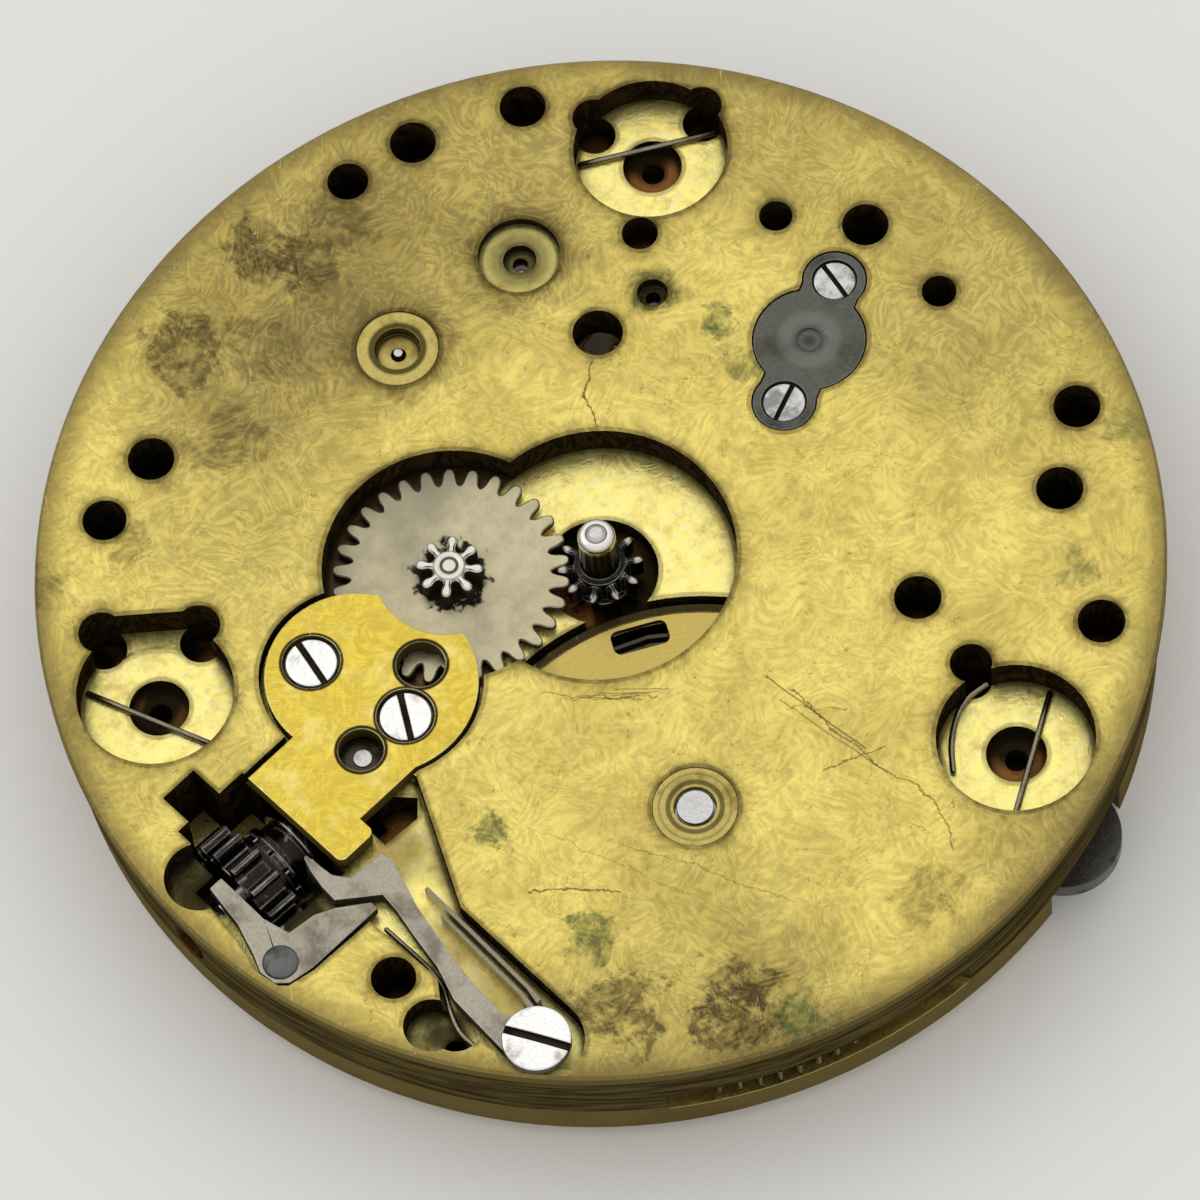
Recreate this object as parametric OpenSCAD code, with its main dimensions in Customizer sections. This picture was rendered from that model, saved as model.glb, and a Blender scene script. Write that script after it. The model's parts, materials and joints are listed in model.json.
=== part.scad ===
// Pocket watch movement, stem wound and lever set, without dial and hands.
// X runs out along the winding stem, Y to twelve o'clock, Z up to the dial side.
// Heights inside the modules are depths below the dial face of the main plate.

/* [Main plate] */
// width of the dial flange across the movement
plate_dia = 43; // [42.8:0.1:43.4]
// thickness of the dial flange at the rim
flange_thick = 0.6; // [0.5:0.05:0.7]
// how far the band below the flange is set in
band_inset = 0.24; // [0.22:0.02:0.26]
// depth of the train face of the plate below the dial face
plate_thick = 3.7; // [3.65:0.01:3.72]
// depth of the round recess in the middle
centre_recess_depth = 1.5; // [1.45:0.05:1.6]
// radius of the round recess in the middle
centre_recess_r = 5.25; // [5.1:0.05:5.35]
// depth of the recesses around the dial feet
foot_recess_depth = 1.5; // [1.3:0.05:1.6]
// radius of the recesses around the dial feet
foot_recess_r = 3.0; // [2.8:0.05:3.1]
// radius of the bores that take the dial feet
foot_bore_r = 0.45; // [0.4:0.01:0.5]
// distance of the dial feet from the middle
foot_pitch_r = 17.58; // [17.5:0.02:17.7]
// radius of the sinks above the dial foot bores
foot_sink_r = 1.15; // [1.0:0.05:1.2]
// depth of the pocket that the lever and its yoke lie in
keyless_depth = 0.9; // [0.85:0.01:0.95]

/* [Heights] */
// depth of the outer face of the bridges
bridge_face = 5.5; // [5.48:0.01:5.6]
// depth of the outer face of the balance cock
cock_face = 6.3; // [6.25:0.01:6.35]
// thickness of the regulator that lies on the balance cock
index_thick = 0.23; // [0.2:0.01:0.3]

/* [Barrel] */
// distance of the barrel from the middle along X
barrel_x = 4.57; // [4.5:0.01:4.62]
// distance of the barrel from the middle along Y
barrel_y = 10.2; // [10.15:0.01:10.25]
// wall of the barrel drum
drum_wall = 0.55; // [0.5:0.05:0.6]
// thickness of the barrel lid
lid_thick = 0.25; // [0.2:0.01:0.28]
// teeth of the barrel
barrel_teeth = 80; // [80:1:80]
// coils of the wound mainspring
mainspring_coils = 8; // [6:1:9]

/* [Train] */
// leaves of the centre pinion
centre_leaves = 12; // [12:1:12]
// teeth of the centre wheel and of the fourth wheel
wheel_teeth = 80; // [80:1:80]
// teeth of the third wheel
third_teeth = 75; // [75:1:75]
// leaves of the third pinion and of the fourth pinion
pinion_leaves = 10; // [10:1:10]
// leaves of the escape pinion
escape_leaves = 8; // [8:1:8]
// teeth of the escape wheel
escape_teeth = 15; // [15:1:15]
// tip radius of the escape wheel
escape_r = 4.45; // [4.3:0.05:4.5]
// thickness of the train wheels
wheel_thick = 0.25; // [0.2:0.01:0.27]

/* [Escapement and balance] */
// outside radius of the balance rim
balance_r = 8.2; // [8.0:0.05:8.25]
// height of the balance rim
balance_rim_h = 0.6; // [0.5:0.02:0.62]
// width of the balance rim
balance_rim_w = 0.75; // [0.65:0.05:0.85]
// number of timing screws on the balance rim
timing_screws = 16; // [12:2:18]
// radius of the large roller
roller_r = 1.7; // [1.6:0.02:1.75]
// outer radius of the hairspring
hairspring_r = 3.6; // [3.4:0.05:3.7]
// coils of the hairspring
hairspring_coils = 9; // [7:1:10]

/* [Motion work] */
// leaves of the cannon pinion
cannon_leaves = 10; // [10:1:10]
// teeth of the minute wheel
minute_teeth = 30; // [30:1:30]
// leaves of the minute pinion
minute_leaves = 8; // [8:1:8]
// teeth of the two setting wheels
setting_teeth = 10; // [10:1:10]
// radius of the cannon pipe that carries the minute hand
cannon_pipe_r = 0.73; // [0.7:0.01:0.76]
// height of the centre post above the dial face
post_rise = 1.9; // [1.7:0.05:2.1]
// thickness of the minute wheel
minute_thick = 0.35; // [0.3:0.01:0.38]

/* [Winding work] */
// depth of the stem axis below the dial face
stem_depth = 2.65; // [2.63:0.01:2.67]
// radius of the winding arbor
stem_r = 0.6; // [0.58:0.01:0.62]
// radius of the bore that lets the stem in
stem_bore_r = 0.8; // [0.79:0.01:0.82]
// teeth of the winding pinion
winding_teeth = 14; // [14:1:14]
// teeth of the crown wheel
crown_teeth = 34; // [34:1:34]
// teeth of the ratchet wheel
ratchet_teeth = 43; // [43:1:43]
// thickness of the ratchet wheel and of the crown wheel
ratchet_thick = 0.5; // [0.45:0.01:0.52]
// outside radius of the clutch
clutch_r = 1.7; // [1.65:0.01:1.72]
// travel of the clutch along the stem
clutch_travel = 0.6; // [0.5:0.05:0.62]
// thickness of the setting lever and the yoke
lever_thick = 0.5; // [0.4:0.02:0.55]
// thickness of the setting cover
cover_thick = 0.7; // [0.65:0.01:0.72]

/* [Fits] */
// play around a turning pivot, on the radius
pivot_gap = 0.02; // [0.015:0.005:0.03]
// gap around a screw or a pressed piece, on the radius
seat_gap = 0.02; // [0.01:0.005:0.03]
// gap around a cover or cap that lies in its pocket
pocket_gap = 0.2; // [0.15:0.01:0.25]

/* [Hidden] */
$fn = 72;
// the layout is drawn 43 wide and grows with the plate
k = plate_dia/43;
R = plate_dia/(2*k);
total_h = cock_face + .02 + index_thick;
Rb = R - band_inset;
bridge_r = Rb - .1;
B = [barrel_x, barrel_y];
drum_r = norm(B) - 1.977;
lid_r = drum_r - .35;
T = [5.5, -7.5];
F = [-0.48, -11.89];
E = [-6.55, -11.56];
P = [-9.10, -6.74];
W = [-12.01, -1.04];
M = [4.35, -3.68];
S2 = [9.883, -2.321];
S1 = [11.92, -0.33];
C = [12.2, 0];
K = [-4.1, 7.0];
PF = [-14.6, -10.6];
BF = [-12.2, 12.6];
bridge_pts = [[-5.6, 15.2], [18.9, 5.6], [18.2, -5.6], [14.0, -12.9], [1.6, -19.0], [-9.2, -16.6]];
case_pts = [[-5.57, 19.42], [5.57, -19.42]];
rim_holes = [[-11.1, -16.28, .9], [-6.98, -18.12, .9], [-4.02, -18.64, .8], [9.45, -15.02, .9],
    [12.46, -14.32, .85], [-14.78, -5.83, .65], [-16.97, -3.12, .9], [-16.98, .96, .67],
    [-17.27, 8.22, .9], [-14.37, 10.25, .9], [-7.35, 9.79, .9], [-11.59, 15.35, .9], [17.33, 7.43, .85]];
foot_dirs = [220.5, 334.5, 109.75];
feet = [for (a = foot_dirs) foot_pitch_r*[cos(a), sin(a)]];
function zd(d) = total_h - d;
function dist(a, b) = norm(a - b);
function ang(a, b) = atan2(b[1]-a[1], b[0]-a[0]);
function pol(c, r, a) = [c[0] + r*cos(a), c[1] + r*sin(a)];
// turning that puts a tooth of the second gear into a gap of the first
function mesh(f1, n1, n2, al) = al + 180 - ((f1 - al)*n1 + 180)/n2;
m_barrel = 2*norm(B)/(barrel_teeth + centre_leaves);
m_centre = 2*norm(T)/(wheel_teeth + pinion_leaves);
m_third = 2*dist(T, F)/(third_teeth + pinion_leaves);
m_fourth = 2*dist(F, E)/(wheel_teeth + escape_leaves);
m_motion = 2*norm(M)/(cannon_leaves + minute_teeth);
m_wind = 2*dist(C, B)/(crown_teeth + ratchet_teeth);
tip_barrel = m_barrel*(barrel_teeth/2 + 1.1);
tip_centre = m_centre*(wheel_teeth/2 + 1.1);
tip_ratchet = m_wind*ratchet_teeth/2 + .8*m_wind;
tip_crown = m_wind*crown_teeth/2 + .8*m_wind;
f_barrel = mesh(0, centre_leaves, barrel_teeth, ang([0, 0], B));
f_third = mesh(0, wheel_teeth, pinion_leaves, ang([0, 0], T));
f_fourth = mesh(0, third_teeth, pinion_leaves, ang(T, F));
f_escape = mesh(0, wheel_teeth, escape_leaves, ang(F, E));
f_minute = mesh(0, cannon_leaves, minute_teeth, ang([0, 0], M));
f_set2 = mesh(f_minute, minute_teeth, setting_teeth, ang(M, S2));
f_set1 = mesh(f_set2, setting_teeth, setting_teeth, ang(S2, S1));
f_crown = 180/crown_teeth;
f_ratchet = mesh(f_crown, crown_teeth, ratchet_teeth, ang(C, B));
line = ang(E, W);
click_a = ang(K, B);
click_len = dist(K, B) - tip_ratchet - .05;

module slab(d1, d2) translate([0, 0, zd(d2)]) linear_extrude(d2 - d1) scale(k) children();
module pin(p, r, d1, d2) translate([k*p[0], k*p[1], zd(d2)]) cylinder(r = k*r, h = d2 - d1);
module cone(p, r1, r2, d1, d2) translate([k*p[0], k*p[1], zd(d2)]) cylinder(r1 = k*r1, r2 = k*r2, h = d2 - d1);
module stem_line(x) translate([k*x, 0, zd(stem_depth)]) rotate([0, 90, 0]) scale(k) children();
module at(p, a = 0) translate([k*p[0], k*p[1], 0]) rotate(a) children();
module bar(a, b, w) {
    translate(a) circle(r = w/2);
    translate(b) circle(r = w/2);
    translate(a) rotate(ang(a, b)) translate([0, -w/2]) square([dist(a, b), w]);
}
module rrect(x0, y0, x1, y1, r) {
    translate([x0 + r, y0]) square([x1 - x0 - 2*r, y1 - y0]);
    translate([x0, y0 + r]) square([x1 - x0, y1 - y0 - 2*r]);
    for (x = [x0 + r, x1 - r]) for (y = [y0 + r, y1 - r]) translate([x, y]) circle(r = r);
}
// slotted screw: head between two depths, head side down or up
module screw(p, hr, d1, d2, sr, s2, a, up = false) {
    difference() {
        pin(p, hr, d1, d2);
        at(p, a) translate([-hr - 1, -.14, up ? zd(d1 + .22) : zd(d2) - 1]) cube([2*hr + 2, .28, up ? 2 : 1.22]);
    }
    pin(p, sr, up ? d2 - .02 : s2, up ? s2 : d1 + .02);
}
// wheel teeth with rounded addendum: root, flank, shoulder, tip
module wheel2d(n, m, t = .225, ha = 1.1, hf = 1.3) {
    r = n*m/2; q = 360/n;
    polygon([for (i = [0:n-1]) each [
        pol([0, 0], r - hf*m, q*(i - t)), pol([0, 0], r, q*(i - t)),
        pol([0, 0], r + .6*ha*m, q*(i - .68*t)), pol([0, 0], r + ha*m, q*(i - .22*t)),
        pol([0, 0], r + ha*m, q*(i + .22*t)), pol([0, 0], r + .6*ha*m, q*(i + .68*t)),
        pol([0, 0], r, q*(i + t)), pol([0, 0], r - hf*m, q*(i + t))]]);
}
// radial-flank leaves of a pinion
module leaves2d(n, m, t = .16, ha = .7, hf = 1.6) {
    r = n*m/2; q = 360/n;
    polygon([for (i = [0:n-1]) each [
        pol([0, 0], r - hf*m, q*(i - t)), pol([0, 0], r, q*(i - t)),
        pol([0, 0], r + .65*ha*m, q*(i - .65*t)), pol([0, 0], r + ha*m, q*(i - .25*t)),
        pol([0, 0], r + ha*m, q*(i + .25*t)), pol([0, 0], r + .65*ha*m, q*(i + .65*t)),
        pol([0, 0], r, q*(i + t)), pol([0, 0], r - hf*m, q*(i + t))]]);
}
// windows between the arms of a wheel
module windows(ri, ro, n, w) difference() {
    circle(r = ro);
    circle(r = ri);
    for (i = [0:n-1]) rotate(360*i/n) translate([0, -w/2]) square([ro + 1, w]);
}
module spiral2d(r0, r1, turns, w, steps = 24) {
    n = turns*steps; g = (r1 - r0)/n;
    polygon(concat([for (i = [0:n]) pol([0, 0], r0 + g*i, 360*i/steps)],
        [for (i = [n:-1:0]) pol([0, 0], r0 + g*i - w, 360*i/steps)]));
}

// window in the rim through which the barrel is seen
module barrel_window2d() polygon([pol([0, 0], 19.6, 55), pol([0, 0], 23, 52), pol([0, 0], 24, 71), pol([0, 0], 23, 90),
    pol([0, 0], 19.6, 84)]);

// outline of the setting cover, larger by g all round
module cover2d(g = 0) rotate(2) difference() {
    union() {
        translate([9.5, -2.2]) circle(r = 3.75 + g);
        translate([9.9, -3.2]) circle(r = 3.4 + g);
        translate([9.5, -3.0 - g]) square([6.15, 4.25 + 2*g]);
        rrect(13.9 - g, -3.0 - g, 15.65 + g, 2.05 + g, .3);
    }
    if (g == 0) translate([4.22, -3.83]) circle(r = 2.9);
}
module lever2d() rotate(2) {
    polygon([[15.95, 4.3], [19.3, 4.28], [20.35, 4.1], [20.75, 3.7], [20.82, 3.0], [20.5, 2.3], [20.05, 1.0],
        [19.75, -.85], [19.15, -.85], [19.2, 1.5], [18.95, 2.6], [17.8, 2.75], [17.05, 3.12], [15.95, 3.95]]);
}
module yoke2d() rotate(2) difference() {
    union() {
        translate([15.7, 12.5]) circle(r = 1.05);
        polygon([[15.4, 11.9], [16.8, 12.2], [16.6, 9.0], [16.1, 7.6], [15.8, 6.0], [15.55, 4.9], [15.45, 4.05],
            [16.85, 2.9], [16.8, 2.2], [16.62, 1.3], [16.28, 1.3], [16.2, 2.1], [15.8, 2.7], [14.3, 2.8],
            [14.2, 3.3], [14.9, 5.3], [15.35, 7.3], [15.65, 9.0], [15.75, 10.8], [15.3, 11.3]]);
    }
    translate([15.7, 12.5]) circle(r = .55 + pivot_gap);
}
// the pocket stops short of the groove below the flange
module keyless2d() intersection() {
    circle(r = Rb - .13);
    keyless_pocket2d();
}
module keyless_pocket2d() rotate(2) {
    polygon([[13.9, 12.6], [13.85, 6.6], [11.25, 1.6], [11.6, -.5], [17.2, -.5], [17.2, 2.0], [18.8, 2.0],
        [18.95, .9], [18.9, -1.1], [20.25, -1.1], [20.45, .9], [20.75, 2.2], [21.02, 3.0], [20.95, 3.72], [20.5, 4.22], [19.4, 4.45],
        [16.6, 4.55], [16.45, 8.0], [17.0, 8.7], [17.1, 12.6]]);
    translate([15.6, 12.5]) circle(r = 1.7);
    translate([17.35, 9.9]) circle(r = 1.0);
}
module cap2d(g = 0) {
    translate(W) circle(r = 2.15 + g);
    for (s = [[-14.47, -2.22], [-9.48, .22]]) translate(s) circle(r = 1.2 + g);
    bar([-14.47, -2.22], [-9.48, .22], 2.2 + 2*g);
}

module main_plate() color("goldenrod") difference() {
    union() {
        pin([0, 0], R, .12, flange_thick);
        cone([0, 0], R, R - .12, 0, .12);
        pin([0, 0], Rb - .1, flange_thick - .01, flange_thick + .35);
        pin([0, 0], Rb, flange_thick + .3, plate_thick);
    }
    // dial side
    pin([0, 0], centre_recess_r, -1, centre_recess_depth);
    pin([0, 0], 2.2, 0, 2.4);
    pin([0, 0], .45 + pivot_gap, 2, plate_thick + 1);
    pin(M, 4.85, -1, 1.45);
    slab(-1, cover_thick + .1) cover2d(pocket_gap);
    for (s = [S1, S2]) pin(s, 1.85, 0, 1.5);
    slab(-1, keyless_depth) keyless2d();
    slab(-1, plate_thick + 1) rotate(2) {
        translate([15.65, -3.3]) square([3.35, 5.4]);
        translate([16.85, -4.7]) square([1.6, 2]);
    }
    slab(-1, plate_thick + 1) translate([12.9, -2.0]) square([6.2, 4.0]);
    slab(-1, 2.2) rotate(2) polygon([[11.6, 1.9], [12.2, 2.5], [13.8, 2.4], [13.8, 1.2], [12.2, 1.2]]);
    slab(-1, 1.25) rotate(2) translate([19.7, -1.35]) circle(r = 1.38);
    slab(-1, 2.2) rotate(2) translate([18.9, -1.5]) square([1.1, 1.55]);
    rotate(2) pin([17.95, 9.2], 1.05, -1, 1.2);
    rotate(2) pin([17.75, 10.2], .45, -1, 2.9);
    stem_line(12.0) cylinder(r = .4 + pivot_gap, h = 2);
    stem_line(18.9) cylinder(r = stem_r + pivot_gap, h = 2);
    stem_line(20.05) cylinder(r = stem_bore_r, h = 4);
    slab(-1, .5) cap2d(.06);
    pin(W, 1.0, 0, .8);
    pin(W, .75 + seat_gap, .7, 1.15);
    for (i = [0:2]) {
        pin(feet[i], foot_recess_r, -1, foot_recess_depth);
        pin(feet[i], foot_sink_r, 0, foot_recess_depth + .6);
        pin(feet[i], foot_bore_r, 0, 3.3);
    }
    pin([15.71, -10.87], .85, -1, 2.9);
    pin([12.87, -8.49], .85, -1, 2.9);
    slab(-1, 1.6) difference() {
        bar([15.71, -10.87], [12.87, -8.49], 1.3);
        translate(feet[1]) circle(r = 2.5);
    }
    for (p = [[-12.72, -14.0], [-16.09, -11.43], [-6.88, 13.16]]) pin(p, .8, -1, 2.9);
    pin([-10.53, -8.98], .7, -1, 1.7);
    for (h = rim_holes) pin(h, h[2], -1, 2.9);
    pin([-6.42, -6.96], .97, -1, 2.5);
    pin(B, 1.6 + seat_gap, -1, 1.3);
    pin(F, 1.6 + seat_gap, -1, .9);
    pin(F, .7 + seat_gap, 0, 1.75);
    pin(F, .45, 0, 3);
    pin(E, 1.6, -1, .4);
    pin(E, .65, -1, .8);
    pin(P, .6, -1, .5);
    for (p = [E, P]) { pin(p, .3, 0, 2); pin(p, .7 + seat_gap, 1.2, 2.2); }
    pin(T, .3, 1.2, 3);
    pin(T, .7 + seat_gap, 2.0, 3);
    // screw holes
    for (s = [[-14.47, -2.22], [-9.48, .22]]) pin(s, .4 + seat_gap, 0, 1.5);
    rotate(2) pin([10.65, -4.74], .35 + seat_gap, 0, 2.25);
    rotate(2) pin([9.75, -.55], .35 + seat_gap, 0, 2.25);
    rotate(2) pin([15.7, 12.5], .42 + seat_gap, 0, 2.35);
    rotate(2) pin([20.0, 3.25], .4 + seat_gap, 0, 1.55);
    for (s = bridge_pts) pin(s, .45 + seat_gap, 2.2, plate_thick + 1);
    for (s = case_pts) pin(s, .55 + seat_gap, 2.0, plate_thick + 1);
    for (s = [PF, BF]) pin(s, .4 + seat_gap, 2.3, plate_thick + 1);
    pin(M, .35 + seat_gap, 1.2, 2.1);
    for (s = [S1, S2]) pin(s, .35 + seat_gap, 1.2, 2.1);
    // train side
    pin(B, drum_r + .25, 1.3, plate_thick + 1);
    pin(B, tip_barrel + .11, 3.02, plate_thick + 1);
    slab(2.7, plate_thick + 1) barrel_window2d();
    pin([0, 0], 2.2, 3.02, plate_thick + 1);
    pin(T, 7.0, 2.35, plate_thick + 1);
    pin(F, 1.5, 2.1, plate_thick + 1);
    pin(F, 5.95, 3.15, plate_thick + 1);
    pin(E, 5.0, 1.85, plate_thick + 1);
    pin(P, 3.3, 1.85, plate_thick + 1);
    slab(1.85, plate_thick + 1) bar(P, W, 3.4);
    pin(W, 2.3, 1.85, plate_thick + 1);
    pin(W, .5, 1.0, plate_thick + 1);
}
module bushings() color("khaki") {
    difference() { pin(B, 1.6, .02, 1.3); pin(B, .8 + pivot_gap, -1, 2); }
    difference() { pin(F, 1.6, .02, .9); pin(F, .9, -1, .55); pin(F, .3, 0, 2); }
}
module ring_jewel(p, r, h, d1, d2) difference() { pin(p, r, d1, d2); pin(p, h, d1 - 1, d2 + 1); }
module jewels() color("crimson") {
    ring_jewel(F, .7, .17 + pivot_gap, 1.4, 1.7);
    ring_jewel(T, .7, .15 + pivot_gap, 2.05, 2.35);
    ring_jewel(E, .7, .12 + pivot_gap, 1.4, 1.75);
    ring_jewel(P, .7, .12 + pivot_gap, 1.4, 1.75);
    ring_jewel(W, .75, .09 + pivot_gap, .75, 1.05);
    ring_jewel([0, 0], .9, .32 + pivot_gap, 4.75, 5.15);
    ring_jewel(T, .7, .15 + pivot_gap, 4.7, 5.0);
    ring_jewel(F, .7, .15 + pivot_gap, 4.3, 4.6);
    ring_jewel(E, .7, .12 + pivot_gap, 4.3, 4.6);
    ring_jewel(P, .55, .12 + pivot_gap, 3.85, 4.1);
    ring_jewel(W, .75, .09 + pivot_gap, 5.7, 6.0);
}
module end_cap() color("dimgray") difference() {
    slab(.02, .48) cap2d();
    pin(W, .5, -1, .1);
    for (s = [[-14.47, -2.22], [-9.48, .22]]) { pin(s, .45, -1, 1); pin(s, .88, -1, .26); }
}
module cap_screws() color("silver") {
    screw([-14.47, -2.22], .83, .02, .26, .4, 1.4, 80, true);
    screw([-9.48, .22], .83, .02, .26, .4, 1.4, 22, true);
}
module setting_cover() color("gold") difference() {
    slab(.08, .08 + cover_thick) cover2d();
    rotate(2) pin([7.86, -1.65], .93, -1, 2);
    rotate(2) pin([11.9, -.75], .86, -1, 2);
    rotate(2) for (s = [[9.75, -.55], [10.65, -4.74]]) { pin(s, .4, -1, 2); pin(s, 1.1, -1, .45); }
}
module cover_screws() color("silver") rotate(2) {
    screw([9.75, -.55], 1.0, .08, .45, .35, 2.2, 58, true);
    screw([10.65, -4.74], 1.0, .08, .45, .35, 2.2, 77, true);
}
module wheel_studs() color("lightgray") {
    pin(M, .35, .3, 2.05);
    for (s = [S1, S2]) pin(s, .35, .82, 2.05);
}
module cannon_pinion() color("lightsteelblue") difference() {
    union() {
        slab(.8, 2.0) leaves2d(cannon_leaves, m_motion, .17, .75, 1.55);
        pin([0, 0], 1.2, 2.0 - .01, 2.3);
        pin([0, 0], 1.0, .65, .81);
        pin([0, 0], cannon_pipe_r, -post_rise + .35, .7);
        cone([0, 0], cannon_pipe_r, cannon_pipe_r - .16, -post_rise + .15, -post_rise + .35);
    }
    pin([0, 0], .4 + seat_gap, -5, 5);
}
module centre_arbor() color("silver") {
    pin([0, 0], .4, -post_rise + .12, 2.45);
    cone([0, 0], .4, .24, -post_rise, -post_rise + .12);
    pin([0, 0], .45, 2.4, 3.1);
    slab(3.08, 3.98) leaves2d(centre_leaves, m_barrel, .17, .7, 1.5);
    pin([0, 0], .7, 3.9, 4.0);
    pin([0, 0], .5, 3.9, 4.5);
    pin([0, 0], .32, 4.4, 5.1);
}
module centre_wheel() color("khaki") slab(4.0, 4.0 + wheel_thick) difference() {
    wheel2d(wheel_teeth, m_centre);
    windows(1.5, 7.35, 5, .8);
    circle(r = .5 + seat_gap);
}
module minute_wheel() color("lightgray") at(M, f_minute) difference() {
    union() {
        slab(.93, .93 + minute_thick) wheel2d(minute_teeth, m_motion, .22, .95, 1.25);
        slab(.1, .95) rotate(11) leaves2d(minute_leaves, .27, .17, .75, 1.6);
        pin([0, 0], .62, .02, .95);
        pin([0, 0], .8, 1.25, 1.4);
    }
    pin([0, 0], .35 + pivot_gap, .22, 3);
}
module setting_wheel(p, f) at(p, f) difference() {
    union() {
        slab(.93, .93 + minute_thick) leaves2d(setting_teeth, m_motion, .2, .8, 1.2);
        pin([0, 0], .7, .86, 1.42);
    }
    pin([0, 0], .35 + pivot_gap, 0, 3);
}
module setting_wheel_outer() color("silver") setting_wheel(S1, f_set1);
module setting_wheel_inner() color("silver") setting_wheel(S2, f_set2);
module barrel_drum() color("goldenrod") at(B, f_barrel) {
    difference() {
        pin([0, 0], drum_r, 1.7, 3.75);
        pin([0, 0], drum_r - drum_wall, 1.9, 3.45);
        pin([0, 0], lid_r + seat_gap, 1.6, 1.7 + lid_thick);
        pin([0, 0], .95 + pivot_gap, 3, 4);
    }
    difference() {
        slab(3.15, 3.75) wheel2d(barrel_teeth, m_barrel);
        pin([0, 0], drum_r - .2, 3, 4);
    }
}
module barrel_lid() color("peru") at(B) difference() {
    pin([0, 0], lid_r, 1.7, 1.7 + lid_thick);
    pin([0, 0], .95 + pivot_gap, 0, 4);
    slab(1, 3) rotate(242.2) translate([8.15 - .5, -1.1]) rrect(0, 0, 1.0, 2.2, .3);
}
// two inner coils reach from the arbor to the packed coils along the wall
function spring_r(t) = t < 2 ? 2.2 + 1.7*t : 5.6 + (drum_r - drum_wall - .15 - 5.6)*(t - 2)/mainspring_coils;
module mainspring() color("steelblue") at(B) slab(2.15, 3.3) polygon(concat(
    [for (i = [0:24*(mainspring_coils + 2)]) pol([0, 0], spring_r(i/24), 15*i)],
    [for (i = [24*(mainspring_coils + 2):-1:0]) pol([0, 0], spring_r(i/24) - .16, 15*i)]));
module barrel_arbor() color("silver") at(B) {
    pin([0, 0], .68, .04, .5);
    pin([0, 0], .8, .5, 1.4);
    pin([0, 0], .95, 1.35, 2.05);
    difference() { pin([0, 0], 2.0, 2.05, 3.35); slab(1, 4) translate([1.7, -.3]) square([1, .5]); }
    pin([0, 0], .95, 3.3, 4.9);
    slab(4.88, bridge_face) translate([-.65, -.65]) square(1.3);
}
module ratchet_wheel() color("lightgray") at(B, f_ratchet) difference() {
    slab(bridge_face - ratchet_thick, bridge_face) wheel2d(ratchet_teeth, m_wind, .2, .8, 1.15);
    rotate(-f_ratchet) slab(3, 8) translate([-.66, -.66]) square(1.32);
}
module ratchet_screw() color("silver") screw(B, 1.3, bridge_face, bridge_face + .3, .01, bridge_face, 15);
module crown_wheel() color("lightgray") at(C, f_crown) difference() {
    slab(bridge_face - ratchet_thick, bridge_face) wheel2d(crown_teeth, m_wind, .2, .8, 1.15);
    circ_cut(2.0 + pivot_gap);
}
module circ_cut(r) pin([0, 0], r, 3, 8);
module crown_core() color("silver") at(C) difference() {
    union() { pin([0, 0], 2.0, bridge_face - .55, bridge_face + .03); pin([0, 0], 2.7, bridge_face + .03, bridge_face + .2); }
    pin([0, 0], .45, 3, 8);
}
module click() color("silver") at(K, click_a) difference() {
    slab(bridge_face - .45, bridge_face - .02) polygon(concat(
        [for (i = [50:10:290]) pol([0, 0], 1.15, i)], [[click_len - .05, -.15], [click_len, .12]]));
    pin([0, 0], .55 + pivot_gap, 3, 8);
}
module click_screw() color("silver") {
    screw(K, .95, bridge_face, bridge_face + .3, .55, bridge_face - .5, 40);
    pin(K, .4, 4.55, bridge_face - .4);
}
module click_spring() color("silver") slab(bridge_face - .45, bridge_face - .05) {
    bar(pol(K, 1.35, 100), pol(K, 3.4, 82), .22);
    bar(pol(K, 3.4, 82), pol(K, 4.7, 92), .22);
    translate(pol(K, 4.9, 93)) circle(r = .5);
}
module winding_pinion() color("gray") difference() {
    union() {
        stem_line(17.45) linear_extrude(1.3) leaves2d(winding_teeth, 2*2.31/winding_teeth, .2, .85, 1.2);
        stem_line(17.1) cylinder(r = clutch_r, h = .4);
        breguet(16.85, 1);
    }
    stem_line(10) cylinder(r = stem_r + pivot_gap, h = 20);
}
// ratchet teeth on a face square to the stem
module breguet(x, s) stem_line(x) linear_extrude(.27)
    for (i = [0:5]) rotate(60*i + (s > 0 ? 0 : 30)) polygon(concat(
        [for (t = [0, 12.5, 25]) pol([0, 0], clutch_r - .06, t)], [for (t = [25, 12.5, 0]) pol([0, 0], .97, t)]));
module winding_arbor() color("silver") difference() {
    union() {
        stem_line(16.9) cylinder(r = stem_r, h = 2.7);
        stem_line(13.1) translate([-.4, -.4, 0]) cube([.8, .8, 3.85]);
        stem_line(12.1) cylinder(r = .4, h = 1.05);
    }
    stem_line(18.4) translate([-.31, -.31, 0]) cube([.62, .62, 3]);
}
module clutch() color("gray") difference() {
    union() {
        stem_line(14.65) cylinder(r = clutch_r, h = 1.25);
        stem_line(15.85) cylinder(r = 1.15, h = .75);
        stem_line(16.55) cylinder(r = clutch_r, h = .3);
        breguet(16.83, -1);
        stem_line(14.27) linear_extrude(.4) difference() {
            leaves2d(12, 2*1.45/12, .22, .9, 2);
            circle(r = 1.0);
        }
    }
    stem_line(10) translate([-.43, -.43, 0]) cube([.86, .86, 10]);
}
module yoke() color("lightgray") {
    slab(.2, .2 + lever_thick) yoke2d();
    // the nib grows wide only under the setting cover, which it passes when the lever is out
    slab(cover_thick + .12, 2.2) rotate(2) translate([16.1, .83]) square([.34, .42]);
    slab(.2, cover_thick + .25) rotate(2) polygon([[16.31, .83], [16.44, .83], [16.62, 1.35], [16.28, 1.35]]);
}
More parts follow.
